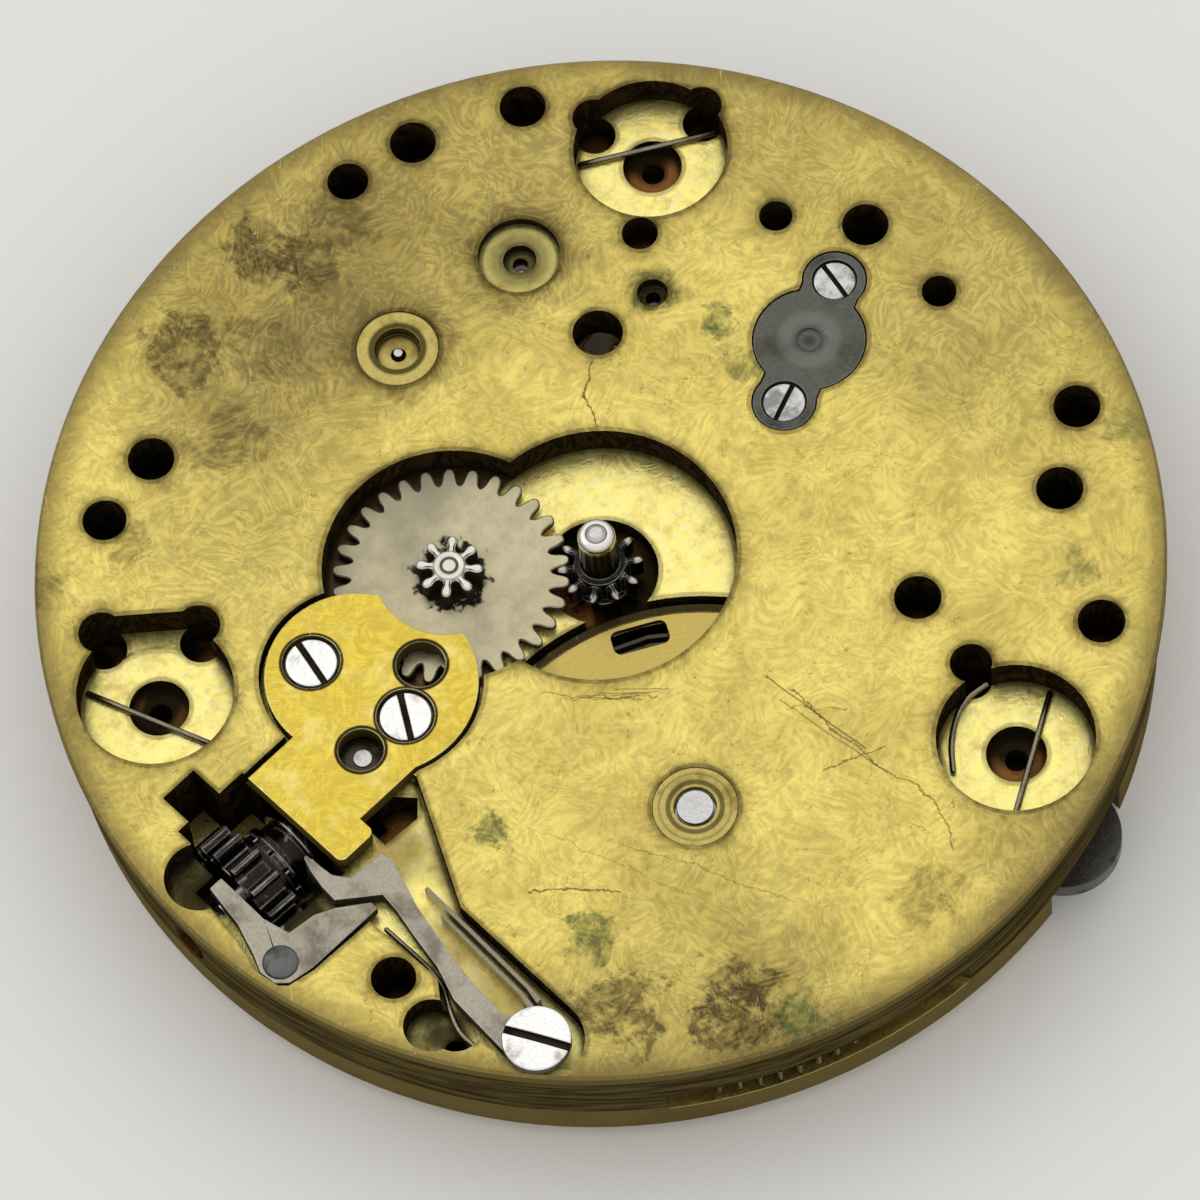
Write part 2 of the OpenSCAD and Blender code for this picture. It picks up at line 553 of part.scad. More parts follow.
module yoke_spring() color("gainsboro") rotate(2) {
    slab(.78, .88) difference() {
        union() {
            translate([15.7, 12.5]) circle(r = 1.05);
            polygon([[14.55, 12.3], [14.3, 11.2], [14.3, 10.7], [14.75, 10.7], [15.3, 11.5]]);
        }
        translate([15.7, 12.5]) circle(r = .5);
    }
    slab(.28, .88) {
        polygon([[14.32, 11.3], [14.24, 10.6], [14.12, 7.5], [14.05, 5.0], [14.2, 5.0], [14.28, 7.5], [14.4, 10.6], [14.55, 11.3]]);
        polygon([[14.7, 11.3], [14.6, 10.6], [14.5, 8.0], [14.42, 6.2], [14.54, 6.2], [14.64, 8.0], [14.76, 10.6], [14.9, 11.2]]);
    }
}
module spring_screw() color("white") rotate(2) {
    screw([15.7, 12.5], 1.3, -.42, -.02, .55, .78, 117.3, true);
    pin([15.7, 12.5], .42, .7, 2.3);
}
module setting_lever() color("lightgray") difference() {
    slab(.2, .2 + lever_thick) lever2d();
    rotate(2) pin([20.0, 3.25], .45 + pivot_gap, -1, 3);
}
module lever_rivet() color("slategray") rotate(2) {
    pin([20.0, 3.25], .68, .02, .19);
    pin([20.0, 3.25], .45, .15, .85);
    pin([20.0, 3.25], .7, .72, .88);
    pin([20.0, 3.25], .4, .8, 1.5);
}
module wire_spring() color("gainsboro") slab(.5, .72) rotate(2) {
    bar([16.25, 5.0], [16.22, 7.9], .2);
    bar([16.22, 7.9], [16.85, 8.95], .2);
    bar([16.85, 8.95], [17.3, 9.9], .2);
    bar([17.3, 9.9], [17.28, 10.6], .2);
    translate([17.28, 10.75]) circle(r = .25);
}
module wire_line(i, a, off) {
    c = feet[i];
    slab(foot_recess_depth - .26, foot_recess_depth - .02) translate(c) rotate(a)
        translate([-2.85, off - .12]) square([5.7, .24]);
}
module latch_wires() color("gainsboro") {
    wire_line(0, 150.4, .75);
    wire_line(1, 111.8, -.6);
    wire_line(2, 31.2, .6);
}
module third_wheel() color("khaki") at(T) slab(2.55, 2.55 + wheel_thick) difference() {
    wheel2d(third_teeth, m_third);
    windows(1.2, 5.75, 5, .65);
    circle(r = .35 + seat_gap);
}
module third_arbor() color("silver") at(T, f_third) {
    pin([0, 0], .15, 1.95, 2.45);
    pin([0, 0], .35, 2.42, 3.8);
    slab(3.78, 4.5) leaves2d(pinion_leaves, m_centre, .16, .7, 1.6);
    pin([0, 0], .15, 4.4, 4.98);
}
module fourth_wheel() color("khaki") at(F) slab(3.35, 3.35 + wheel_thick) difference() {
    wheel2d(wheel_teeth, m_fourth);
    windows(1.1, 4.85, 5, .55);
    circle(r = .35 + seat_gap);
}
module fourth_arbor() color("silver") at(F, f_fourth) {
    pin([0, 0], .17, .35, 2.3);
    slab(2.3, 3.05) leaves2d(pinion_leaves, m_third, .16, .7, 1.6);
    pin([0, 0], .35, 3.0, 4.2);
    pin([0, 0], .15, 4.15, 4.6);
}
module escape_wheel() color("khaki") at(E) slab(2.05, 2.25) difference() {
    polygon([for (i = [0:escape_teeth-1]) each let (a = 24*i + 6) [
        pol([0, 0], escape_r - .85, a), pol([0, 0], escape_r - .15, a + 5.0), pol([0, 0], escape_r, a + 7.5),
        pol([0, 0], escape_r - .75, a + 8.0)]]);
    windows(.95, escape_r - 1.35, 4, .45);
    circle(r = .22 + seat_gap);
}
module escape_arbor() color("silver") at(E, f_escape) {
    pin([0, 0], .12, 1.35, 1.95);
    pin([0, 0], .22, 1.9, 3.1);
    slab(3.1, 3.85) leaves2d(escape_leaves, m_fourth, .16, .7, 1.7);
    pin([0, 0], .12, 3.8, 4.58);
}
// pallet parts are drawn with X pointing from the pallet pivot to the balance
module pallet_fork() color("silver") at(P, line) difference() {
    slab(2.0, 2.3) polygon(concat(
        [[.75, -.28], [3.4, -.28], [3.7, -.8], [4.62, -.95], [4.62, -.28], [4.2, -.22], [4.2, .22], [4.62, .28],
            [4.62, .95], [3.7, .8], [3.4, .28], [.75, .28], [.5, .7], [.4, 1.4], [.25, 2.5]],
        [[-.4, 2.7], [-1.05, 2.55], [-1.1, 1.55], [-.75, 1.2], [-.7, .5]],
        [[-.7, -.5], [-.75, -1.2], [-1.1, -1.55], [-1.05, -2.55], [-.4, -2.7]],
        [[.25, -2.5], [.4, -1.4], [.5, -.7]]));
    pin([0, 0], .2 + seat_gap, 1, 3);
    for (s = [-1, 1]) slab(1.9, 2.4) translate([-.62, s*2.0]) rotate(s*12) translate([-1.2, -.2]) square([1.65, .4]);
}
module pallet_stones() color("crimson") at(P, line) for (s = [-1, 1])
    slab(2.02, 2.28) translate([-.62, s*2.0]) rotate(s*12) translate([-.5, -.19]) square([.94, .38]);
module pallet_arbor() color("silver") at(P) {
    pin([0, 0], .12, 1.35, 1.95);
    pin([0, 0], .2, 1.9, 3.6);
    pin([0, 0], .12, 3.55, 4.1);
}
module balance_wheel() color("gold") at(W, line) {
    difference() {
        pin([0, 0], balance_r, 4.42, 4.42 + balance_rim_h);
        pin([0, 0], balance_r - balance_rim_w, 4, 6);
    }
    slab(4.6, 4.85) difference() {
        union() { translate([-balance_r + .4, -.6]) square([2*balance_r - .8, 1.2]); circle(r = 1.4); }
        circle(r = .45 + seat_gap);
    }
}
module balance_screws() color("gold") at(W, line) for (i = [0:timing_screws-1])
    rotate(360*(i + .5)/timing_screws) translate([k*balance_r + .02, 0, zd(4.42 + balance_rim_h/2)])
        rotate([0, 90, 0]) cylinder(r = .26, h = .4);
module balance_staff() color("silver") at(W) {
    pin([0, 0], .09, .72, 1.2);
    cone([0, 0], .28, .09, 1.2, 1.5);
    pin([0, 0], .28, 1.5, 4.5);
    pin([0, 0], .8, 4.4, 4.6);
    pin([0, 0], .45, 4.55, 4.95);
    pin([0, 0], .3, 4.95, 5.4);
    cone([0, 0], .09, .3, 5.4, 5.6);
    pin([0, 0], .09, 5.6, 6.02);
}
module roller() color("silver") at(W, line) difference() {
    union() { pin([0, 0], roller_r, 2.55, 2.8); pin([0, 0], .72, 2.0, 2.56); pin([0, 0], .6, 2.8, 3.2); }
    pin([0, 0], .28 + seat_gap, 1, 4);
    pin([-.85, 0], .25, 1.9, 2.3);
    pin([-1.3, 0], .17 + seat_gap, 1, 3);
}
module impulse_pin() color("crimson") at(W, line) pin([-1.3, 0], .17, 2.1, 2.8);
module hairspring() color("steelblue") at(W) slab(5.08, 5.28)
    spiral2d(.75, hairspring_r, hairspring_coils, .08);
module collet() color("gold") at(W) difference() {
    pin([0, 0], .6, 5.0, 5.3);
    pin([0, 0], .3 + seat_gap, 4, 6);
}
module hairspring_stud() color("silver") at(W) pin([hairspring_r + .2, 0], .2, 5.05, 5.9);
module regulator() color("silver") at(W, 96) difference() {
    slab(cock_face + .02, total_h) {
        circle(r = 1.9);
        bar([0, 0], [6.2, 0], .7);
        bar([0, 0], [-2.9, 0], .9);
    }
    pin([0, 0], 1.25 + pivot_gap, 5, 8);
}
module half_balance(g) translate(W) circle(r = balance_r + .7 + g);
module barrel_bridge2d() difference() {
    intersection() {
        circle(r = bridge_r);
        polygon([[-2.4, -2.2], [-.6, -2.9], [2.4, -3.0], [7.0, -5.2], [12.2, -7.4], [24, -9.6], [26, 26],
            [-8, 26], [-7.6, 12.6], [-6.2, 5.2], [-2.6, 3.2]]);
    }
    half_balance(.1);
    translate(case_pts[0]) circle(r = 2.5);
}
module barrel_bridge() color("darkgoldenrod") difference() {
    slab(plate_thick, bridge_face) barrel_bridge2d();
    pin(B, tip_barrel + .11, 3, 3.95);
    slab(3, 4.15) barrel_window2d();
    pin([0, 0], tip_centre + .25, 3, 4.45);
    pin(B, tip_ratchet + .2, bridge_face - .55, 7);
    pin(C, tip_crown + .2, bridge_face - .55, 7);
    pin(B, .95 + pivot_gap, 3, 7);
    pin([0, 0], .9 + seat_gap, 4.75, 7);
    pin([0, 0], .5, 4, 7);
    slab(bridge_face - .5, 7) {
        translate(K) circle(r = 1.7);
        bar(K, pol(K, 2.6, click_a), 2.6);
        bar(K, pol(K, 4.9, 93), 1.4);
        translate(K) rotate(88) translate([0, -.9]) square([5.2, 2.6]);
    }
    pin(K, .4 + seat_gap, 4.5, 7);
    pin(C, .4 + seat_gap, 3.9, 7);
    slab(3, 5.35) translate([17.0, -2.85]) square([2.1, 5.7]);
    slab(3, 4.55) translate([12.9, -2.0]) square([4.6, 4.0]);
    for (s = [bridge_pts[0], bridge_pts[1], bridge_pts[2]]) { pin(s, .5, 3, 7); pin(s, 1.2, bridge_face - .5, 7); }
}
module train_bridge() color("darkgoldenrod") difference() {
    slab(plate_thick, bridge_face) difference() {
        intersection() {
            circle(r = bridge_r);
            polygon([[-3.3, -9.3], [.6, -3.9], [2.2, -3.9], [6.8, -6.0], [12.0, -8.2], [24, -10.4], [24, -26], [-3.3, -26]]);
        }
        half_balance(.1);
        translate(case_pts[1]) circle(r = 2.5);
    }
    pin([0, 0], tip_centre + .25, 3, 4.45);
    pin(T, 1.5, 3, 4.6);
    pin(T, .7 + seat_gap, 4.7, 7);
    pin(T, .5, 4, 7);
    pin(F, 1.2, 3, 4.25);
    pin(F, .7 + seat_gap, 4.3, 7);
    pin(F, .4, 4, 7);
    for (s = [bridge_pts[3], bridge_pts[4]]) { pin(s, .5, 3, 7); pin(s, 1.2, bridge_face - .5, 7); }
}
module escape_cock() color("darkgoldenrod") difference() {
    slab(plate_thick, bridge_face) difference() {
        intersection() {
            circle(r = bridge_r);
            polygon([[-3.7, -9.9], [-3.7, -26], [-12, -26], [-11.2, -16.0], [-8.4, -11.4], [-6.4, -9.9]]);
        }
        half_balance(.1);
    }
    pin(E, 1.2, 3, 4.1);
    pin(E, .7 + seat_gap, 4.3, 7);
    pin(E, .4, 4, 7);
    pin(bridge_pts[5], .5, 3, 7);
    pin(bridge_pts[5], 1.2, bridge_face - .5, 7);
}
module pallet_cock() color("darkgoldenrod") difference() {
    slab(plate_thick, plate_thick + .48) { bar(P, PF, 2.3); translate(PF) circle(r = 1.6); }
    pin(P, .55 + seat_gap, 3.84, 7);
    pin(P, .35, 3, 7);
    pin(PF, .45, 3, 7);
}
module balance_cock() color("darkgoldenrod") difference() {
    union() {
        slab(plate_thick, cock_face) difference() {
            intersection() {
                circle(r = bridge_r);
                polygon([[-30, 9.0], [-18, 8.2], [-12, 8.6], [-8.3, 9.4], [-8.4, 12.6], [-8.8, 26], [-30, 26]]);
            }
            half_balance(.2);
        }
        slab(bridge_face + .05, cock_face) { bar(W, [-12.6, 9.5], 4.6); translate(W) circle(r = 2.9); }
        pin(W, 1.25, cock_face - .01, total_h - .05);
    }
    pin(W, .75 + seat_gap, 5, 6.04);
    pin(W, .4, 5, 7);
    pin(W + [hairspring_r + .2, 0], .2 + seat_gap, 5, 5.95);
    pin(BF, .5, 3, 7);
    pin(BF, 1.3, cock_face - .5, 7);
}
module bridge_screws() color("silver") {
    for (i = [0:5]) screw(bridge_pts[i], 1.1, bridge_face - .5, bridge_face, .45, 2.25, 30 + 47*i);
    screw(C, 1.1, bridge_face + .2, bridge_face + .55, .4, 4.1, 70);
    screw(BF, 1.2, cock_face - .5, cock_face, .4, 2.35, 20);
    screw(PF, .8, plate_thick + .48, plate_thick + .85, .4, 2.35, 75);
}
module case_screws() color("dimgray")
    for (s = case_pts) screw(s, 2.2, plate_thick, plate_thick + .9, .55, 2.05, 25);

main_plate();
bushings();
jewels();
end_cap();
cap_screws();
setting_cover();
cover_screws();
wheel_studs();
cannon_pinion();
centre_arbor();
centre_wheel();
minute_wheel();
setting_wheel_outer();
setting_wheel_inner();
barrel_drum();
barrel_lid();
mainspring();
barrel_arbor();
ratchet_wheel();
ratchet_screw();
crown_wheel();
crown_core();
click();
click_screw();
click_spring();
winding_pinion();
winding_arbor();
clutch();
yoke();
yoke_spring();
spring_screw();
setting_lever();
lever_rivet();
wire_spring();
latch_wires();
third_wheel();
third_arbor();
fourth_wheel();
fourth_arbor();
escape_wheel();
escape_arbor();
pallet_fork();
pallet_stones();
pallet_arbor();
balance_wheel();
balance_screws();
balance_staff();
roller();
impulse_pin();
hairspring();
collet();
hairspring_stud();
regulator();
barrel_bridge();
train_bridge();
escape_cock();
pallet_cock();
balance_cock();
bridge_screws();
case_screws();
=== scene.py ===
# %% [markdown]
# # A pocket watch movement, dial side up
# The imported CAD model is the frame: every plate, wheel, lever and screw already has its true shape and place.
# This script gives each of them the finish of the old metal, and builds again, as smooth surfaces, the small
# parts that a CAD solid shows too plainly: slotted screws, sprung wires and the spiral springs. Lengths are
# metres. Helpers take millimetres, because that is how a watchmaker reads a movement.

# %% Load the frame
import bmesh
import bpy
import json
import math
import numpy as np
from mathutils import Matrix, Vector


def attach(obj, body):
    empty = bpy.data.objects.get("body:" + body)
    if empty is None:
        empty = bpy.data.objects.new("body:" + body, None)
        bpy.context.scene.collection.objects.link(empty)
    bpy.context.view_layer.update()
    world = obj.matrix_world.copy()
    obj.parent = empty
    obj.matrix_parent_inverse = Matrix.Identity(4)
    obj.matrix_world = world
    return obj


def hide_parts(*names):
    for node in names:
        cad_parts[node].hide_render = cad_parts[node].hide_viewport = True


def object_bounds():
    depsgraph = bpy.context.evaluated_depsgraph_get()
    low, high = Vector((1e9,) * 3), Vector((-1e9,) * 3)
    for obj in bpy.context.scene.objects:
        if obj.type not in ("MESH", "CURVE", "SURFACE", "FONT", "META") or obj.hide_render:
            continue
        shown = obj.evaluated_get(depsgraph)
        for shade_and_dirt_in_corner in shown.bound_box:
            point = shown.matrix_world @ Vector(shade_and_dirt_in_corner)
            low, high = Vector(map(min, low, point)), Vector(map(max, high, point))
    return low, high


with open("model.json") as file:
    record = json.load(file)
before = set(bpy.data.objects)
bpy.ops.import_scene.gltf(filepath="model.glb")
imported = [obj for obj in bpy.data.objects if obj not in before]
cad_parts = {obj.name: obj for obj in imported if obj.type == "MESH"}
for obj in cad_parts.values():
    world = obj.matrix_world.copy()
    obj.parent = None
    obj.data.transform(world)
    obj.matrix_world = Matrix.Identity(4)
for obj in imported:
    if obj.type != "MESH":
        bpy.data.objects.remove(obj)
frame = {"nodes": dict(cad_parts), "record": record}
nodes = frame["nodes"]
cad_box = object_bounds()
MM = 0.001
DIAL_FACE = cad_box[0].z / MM + 6.55
print("frame with", len(nodes), "nodes, dial face at", round(DIAL_FACE, 3), "mm")

# %% [markdown]
# ## Camera
# The photograph looks down at the dial side at 64 degrees with a long lens, slightly rolled. A camera is a
# place and three directions: right, up, and back towards the viewer. Writing the three directions down as the
# columns of a matrix is surer than a tracking constraint, because the roll is part of it.

# %% Camera
def new_object(name, data):
    """An object with this mesh, lamp or camera, at the origin, unturned and unscaled."""
    made = bpy.data.objects.new(name, data)
    bpy.context.scene.collection.objects.link(made)
    return made


def towards(height, side):
    """The direction this many degrees above the floor and this many degrees round from X."""
    height, side = math.radians(height), math.radians(side)
    return Vector((math.cos(height) * math.cos(side), math.cos(height) * math.sin(side), math.sin(height)))


VIEW_HEIGHT, VIEW_SIDE, VIEW_ROLL = 64.06, 54.0, math.radians(7.73)
VIEW_DISTANCE, FOCAL_LENGTH, SENSOR_WIDTH = 320.0, 253.3, 36
AIM_RIGHT, AIM_UP = 0.047, -1.73
back = towards(VIEW_HEIGHT, VIEW_SIDE)
level_right = towards(0, VIEW_SIDE + 90)
level_up = back.cross(level_right)
right = math.cos(VIEW_ROLL) * level_right - math.sin(VIEW_ROLL) * level_up
up = math.sin(VIEW_ROLL) * level_right + math.cos(VIEW_ROLL) * level_up
aim = Vector((0, 0, DIAL_FACE)) + AIM_RIGHT * right + AIM_UP * up
camera = new_object("camera", bpy.data.cameras.new("camera"))
turn_of_view = Matrix((right, up, back)).transposed().to_4x4()
camera.matrix_world = Matrix.Translation((aim + VIEW_DISTANCE * back) * MM) @ turn_of_view
camera.data.lens = FOCAL_LENGTH
camera.data.sensor_width = SENSOR_WIDTH
camera.data.clip_start = 0.005
camera.data.clip_end = 50
bpy.context.scene.camera = camera
print("camera at", [round(v, 4) for v in camera.matrix_world.translation])

# %% [markdown]
# ## Floor, light and air
# Polished metal shows what stands around it, so the light is mostly the room: a pale sky that is brightest
# where the plate mirrors it to the camera, and greyer towards the horizon, which gives the side walls and
# screws their dark edges. One soft lamp from the far side adds the shadows. The strengths are near one, so a
# colour renders as written.

# %% Floor and light
FLOOR_HALF = 1.5
floor_corners = [(x * FLOOR_HALF, y * FLOOR_HALF, 0) for x, y in ((-1, -1), (1, -1), (1, 1), (-1, 1))]
floor_mesh = bpy.data.meshes.new("floor")
floor_mesh.from_pydata(floor_corners, [], [(0, 1, 2, 3)])
floor = new_object("floor", floor_mesh)

lamp_data = bpy.data.lights.new("soft_box", "AREA")
lamp_data.shape = "RECTANGLE"
lamp_data.size, lamp_data.size_y = 0.25, 0.2
lamp_data.energy = 0.10
LAMP_DISTANCE = 0.35
lamp_back = towards(48.0, 305.0)
turn_of_lamp = lamp_back.to_track_quat("Z", "Y").to_matrix().to_4x4()
new_object("soft_box", lamp_data).matrix_world = Matrix.Translation(lamp_back * LAMP_DISTANCE) @ turn_of_lamp
print("lamp", lamp_data.energy, "W")


# %% [markdown]
# ## A bench for shader nodes
# A material is a small recipe of nodes. The bench lays a node down, sets its properties and feeds its inputs
# in one call, so that the recipes below read as steps and not as wiring.

# %% The bench
class Bench:
    """Lays nodes into one node tree. A feed is either a number or colour, or an output socket to link."""

    def __init__(self, tree):
        self.tree = tree

    def feed(self, node, feeds):
        for key, value in feeds.items():
            if isinstance(value, bpy.types.NodeSocket):
                self.tree.links.new(value, node.inputs[key])
            else:
                node.inputs[key].default_value = value

    def node(self, kind, feeds, **settings):
        made = self.tree.nodes.new("ShaderNode" + kind)
        for key, value in settings.items():
            setattr(made, key, value)
        self.feed(made, feeds)
        return made

    def use(self, group, **feeds):
        """Places a node group and feeds its inputs by name."""
        return self.node("Group", feeds, node_tree=group).outputs

    def calc(self, operation, a, b=0.0, clamp=False):
        return self.node("Math", {0: a, 1: b}, operation=operation, use_clamp=clamp).outputs[0]

    def plus(self, a, b):
        return self.calc("ADD", a, b)

    def minus(self, a, b, clamp=False):
        return self.calc("SUBTRACT", a, b, clamp)

    def times(self, a, b, clamp=False):
        return self.calc("MULTIPLY", a, b, clamp)

    def over(self, a, b, clamp=False):
        return self.calc("DIVIDE", a, b, clamp)

    def most(self, a, b):
        return self.calc("MAXIMUM", a, b)

    def off(self, value, middle):
        """How far a value is from the middle, either way."""
        return self.calc("ABSOLUTE", self.minus(value, middle))

    def vector(self, operation, a, b=(0, 0, 0)):
        made = self.node("VectorMath", {0: a, 1: b}, operation=operation)
        return made.outputs["Value" if operation in ("DISTANCE", "LENGTH", "DOT_PRODUCT") else "Vector"]

    def rise(self, value, start, stop, low=0.0, high=1.0):
        """Smoothly from low at start to high at stop."""
        return self.node("MapRange", {"Value": value, "From Min": start, "From Max": stop, "To Min": low,
                                      "To Max": high}, interpolation_type="SMOOTHSTEP").outputs["Result"]

    def mix(self, mask, first, second, way="MIX"):
        """From the first colour to the second as the mask rises. A written colour is red, green and blue."""
        first, second = ((*colour, 1) if isinstance(colour, tuple) else colour for colour in (first, second))
        return self.node("Mix", {0: mask, 6: first, 7: second}, data_type="RGBA", blend_type=way).outputs[2]

    def shade(self, colour, amount):
        """The colour, darker or brighter by the same amount in red, green and blue."""
        grey = self.node("CombineXYZ", {0: amount, 1: amount, 2: amount}).outputs[0]
        return self.mix(1.0, colour, grey, "MULTIPLY")

    def noise(self, place, scale, detail=3.0, rough=0.55):
        return self.cloud(place, scale, detail, rough)["Fac"]

    def cloud(self, place, scale, detail, rough):
        feeds = {"Vector": place, "Scale": scale, "Detail": detail, "Roughness": rough}
        return self.node("TexNoise", feeds).outputs

    def wave(self, place, scale, detail, rough=0.5):
        """A soft random shift, about as often one way as the other along each axis."""
        return self.vector("SUBTRACT", self.cloud(place, scale, detail, rough)["Color"], (0.5, 0.5, 0.5))

    def scaled(self, vector, factor):
        return self.node("VectorMath", {0: vector, "Scale": factor}, operation="SCALE").outputs["Vector"]

    def z_of(self, vector):
        return self.node("SeparateXYZ", {0: vector}).outputs["Z"]

    def stretch(self, place, size=(1, 1, 1), turn=0.0, shift=(0, 0, 0)):
        """Turns first and scales after, so that a pattern can be drawn out along any direction."""
        turned_place = self.node("Mapping", {"Vector": place, "Rotation": (0, 0, turn)}).outputs[0]
        return self.node("Mapping", {"Vector": turned_place, "Scale": size, "Location": shift}).outputs[0]


# the room: pale above, greyer at the horizon, brightest in the mirror direction of the dial face
world = bpy.data.worlds.new("room")
bpy.context.scene.world = world
bpy.context.scene.view_settings.view_transform = "Standard"
world.use_nodes = True
world.node_tree.nodes.clear()
bench = Bench(world.node_tree)
look = bench.node("TexCoord", {}).outputs["Generated"]
height = bench.z_of(look)
mirrored = (-back.x, -back.y, back.z)
nearness = bench.vector("DOT_PRODUCT", look, mirrored)
glow = bench.rise(nearness, 0.80, 0.985, 0.0, 0.22)
strength = bench.plus(bench.rise(height, -0.1, 0.65, 0.42, 0.88), glow)
air = bench.node("Background", {"Color": (1, 0.99, 0.97, 1), "Strength": strength})
bench.node("OutputWorld", {"Surface": air.outputs[0]})

floor_material = bpy.data.materials.new("pale_floor")
floor_material.use_nodes = True
floor_shader = floor_material.node_tree.nodes["Principled BSDF"]
floor_shader.inputs["Base Color"].default_value = (0.82, 0.81, 0.79, 1)
floor_shader.inputs["Roughness"].default_value = 0.8
floor_mesh.materials.append(floor_material)
print("world and floor lit")

# %% [markdown]
# ## Surfaces from arrays
# A screw head, a wire or a jewel is one or more sheets of points, worked out as whole arrays. The
# alternatives are boolean cuts, which leave long thin triangles, and modelling by hand, which can't be read
# as a lesson. Sheets that share an edge are merged, so every piece is closed, and the faces are then turned
# outwards.

# %% From sheets of points to a piece
BODY_OF = {node: body for body, members in frame["record"]["behaviour"]["bodies"].items() for node in members}
MERGE = 0.0008


def piece_for(node, sheets, sharp=32.0):
    """One closed piece that stands for a CAD node, from sheets of points in millimetres.

    A sheet is an array of rows by columns by 3, with a flag that says whether its columns close into a
    ring. Face (i, j) joins the points (i, j), (i, j + 1), (i + 1, j + 1) and (i + 1, j). A third item, if
    there is one, names the rows of faces that take the second material.
    """
    points, faces, second, start = [], [], [], 0
    for sheet, ring, *dark_rows in sheets:
        rows, columns = sheet.shape[:2]
        index = start + np.arange(rows * columns).reshape(rows, columns)
        here = index if ring else index[:, :-1]
        after = np.roll(index, -1, axis=1) if ring else index[:, 1:]
        faces.append(np.stack([here[:-1], after[:-1], after[1:], here[1:]], axis=-1).reshape(-1, 4))
        is_dark = np.isin(np.arange(rows - 1), dark_rows[0] if dark_rows else [])
        second.append(np.repeat(is_dark.astype(np.int32), here.shape[1]))
        points.append(sheet.reshape(-1, 3))
        start += rows * columns
    mesh = bpy.data.meshes.new(node + "_made")
    mesh.from_pydata((np.concatenate(points) * MM).tolist(), [], np.concatenate(faces).tolist())
    mesh.polygons.foreach_set("material_index", np.concatenate(second))
    tidy = bmesh.new()
    tidy.from_mesh(mesh)
    bmesh.ops.remove_doubles(tidy, verts=tidy.verts, dist=MERGE * MM)
    bmesh.ops.dissolve_degenerate(tidy, edges=tidy.edges, dist=MERGE * MM)
    bmesh.ops.recalc_face_normals(tidy, faces=tidy.faces)
    open_edges = sum(1 for edge in tidy.edges if not edge.is_manifold)
    tidy.to_mesh(mesh)
    tidy.free()
    mesh.shade_smooth()
    mesh.set_sharp_from_angle(angle=math.radians(sharp))
    piece = new_object(node + "_made", mesh)
    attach(piece, BODY_OF[node])
    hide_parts(node)
    print(piece.name, "on", BODY_OF[node], "with", len(mesh.polygons), "faces,", open_edges, "open edges")


def turned(x, y, profile, columns=40):
    """A sheet turned about an upright axis: each profile point (radius, depth) becomes one ring."""
    radius, depth = np.array(profile, float).T
    turn = np.linspace(0, 2 * np.pi, columns, endpoint=False)
    return np.stack([x + radius[:, None] * np.cos(turn), y + radius[:, None] * np.sin(turn),
                     np.repeat(DIAL_FACE - depth[:, None], columns, axis=1)], axis=-1), True


def disc(x, y, radius, top, low):
    """A plain round pin between two depths."""
    return turned(x, y, [(0, top), (radius, top), (radius, low), (0, low)], 28)


# %% [markdown]
# ## Slotted screws
# A watch screw has a low polished crown, a soft rim and a sawn slot. The head is a sheet whose rows lie
# across the slot and whose columns all end on the rim, so the slot's edges are rows of the sheet and stay
# perfectly straight.

# %% Screws
def screw_sheets(x, y, radius, outer, inner, turn, shank, shank_end, slot=0.24, slot_depth=0.22, crown=0.05,
                 soft=0.07):
    """The sheets of one slotted screw. Depths are below the dial face, outer is the face that shows.

    A point's place along the slot is its column value times the half chord of its row. The surface falls
    from the middle by crown times the squared distance, and by a quarter circle of radius soft at the rim.
    The rows of the slot lie slot_depth below the middle. The wall goes straight down from the rim, and the
    underside closes in a point.
    """
    facing = 1.0 if outer < inner else -1.0
    half, chamfer = slot / 2, 0.03
    outside = -radius * np.cos(np.linspace(0, np.arccos((half + chamfer) / radius), 12))
    bottom = half - 0.012
    across = np.concatenate([outside, [-half, -bottom, 0, bottom, half], -outside[::-1]])
    lowered = np.concatenate([0 * outside, [chamfer, slot_depth, slot_depth, slot_depth, chamfer],
                              0 * outside])
    columns = np.sin(np.linspace(-np.pi / 2, np.pi / 2, 23))
    u = np.repeat(across[:, None], columns.size, axis=1)
    v = columns * np.sqrt(np.maximum(radius ** 2 - across ** 2, 0))[:, None]
    away = np.minimum(np.hypot(u, v), radius)
    lip = np.clip((away - radius + soft) / soft, 0, 1)
    fall = crown * (away / radius) ** 2 + soft * (1 - np.sqrt(1 - lip ** 2)) + lowered[:, None]
    fall = np.where(lowered[:, None] == slot_depth, slot_depth, fall)
    c, s = math.cos(math.radians(turn)), math.sin(math.radians(turn))
    top = np.stack([x + v * c - u * s, y + v * s + u * c, DIAL_FACE - outer - facing * fall], axis=-1)
    rim = np.concatenate([top[:, -1], top[::-1, 0]])
    foot = rim.copy()
    foot[:, 2] = DIAL_FACE - inner
    middle = np.repeat([[x, y, DIAL_FACE - inner]], len(rim), axis=0)
    root = inner - 0.02 * facing
    tip = shank_end - 0.3 * shank * facing
    body = [(0, root), (shank, root), (shank, tip), (0.6 * shank, shank_end), (0, shank_end)]
    slot_rows = np.arange(outside.size, outside.size + 4)
    return [(top, False, slot_rows), (np.stack([rim, foot]), True), (np.stack([foot, middle]), True),
            turned(x, y, body, 24)]


STEM_WORKS_TURN = math.radians(2.0)


def under_cover(x, y):
    """The works of the stem lie on the plate turned by two degrees."""
    c, s = math.cos(STEM_WORKS_TURN), math.sin(STEM_WORKS_TURN)
    return x * c - y * s, x * s + y * c


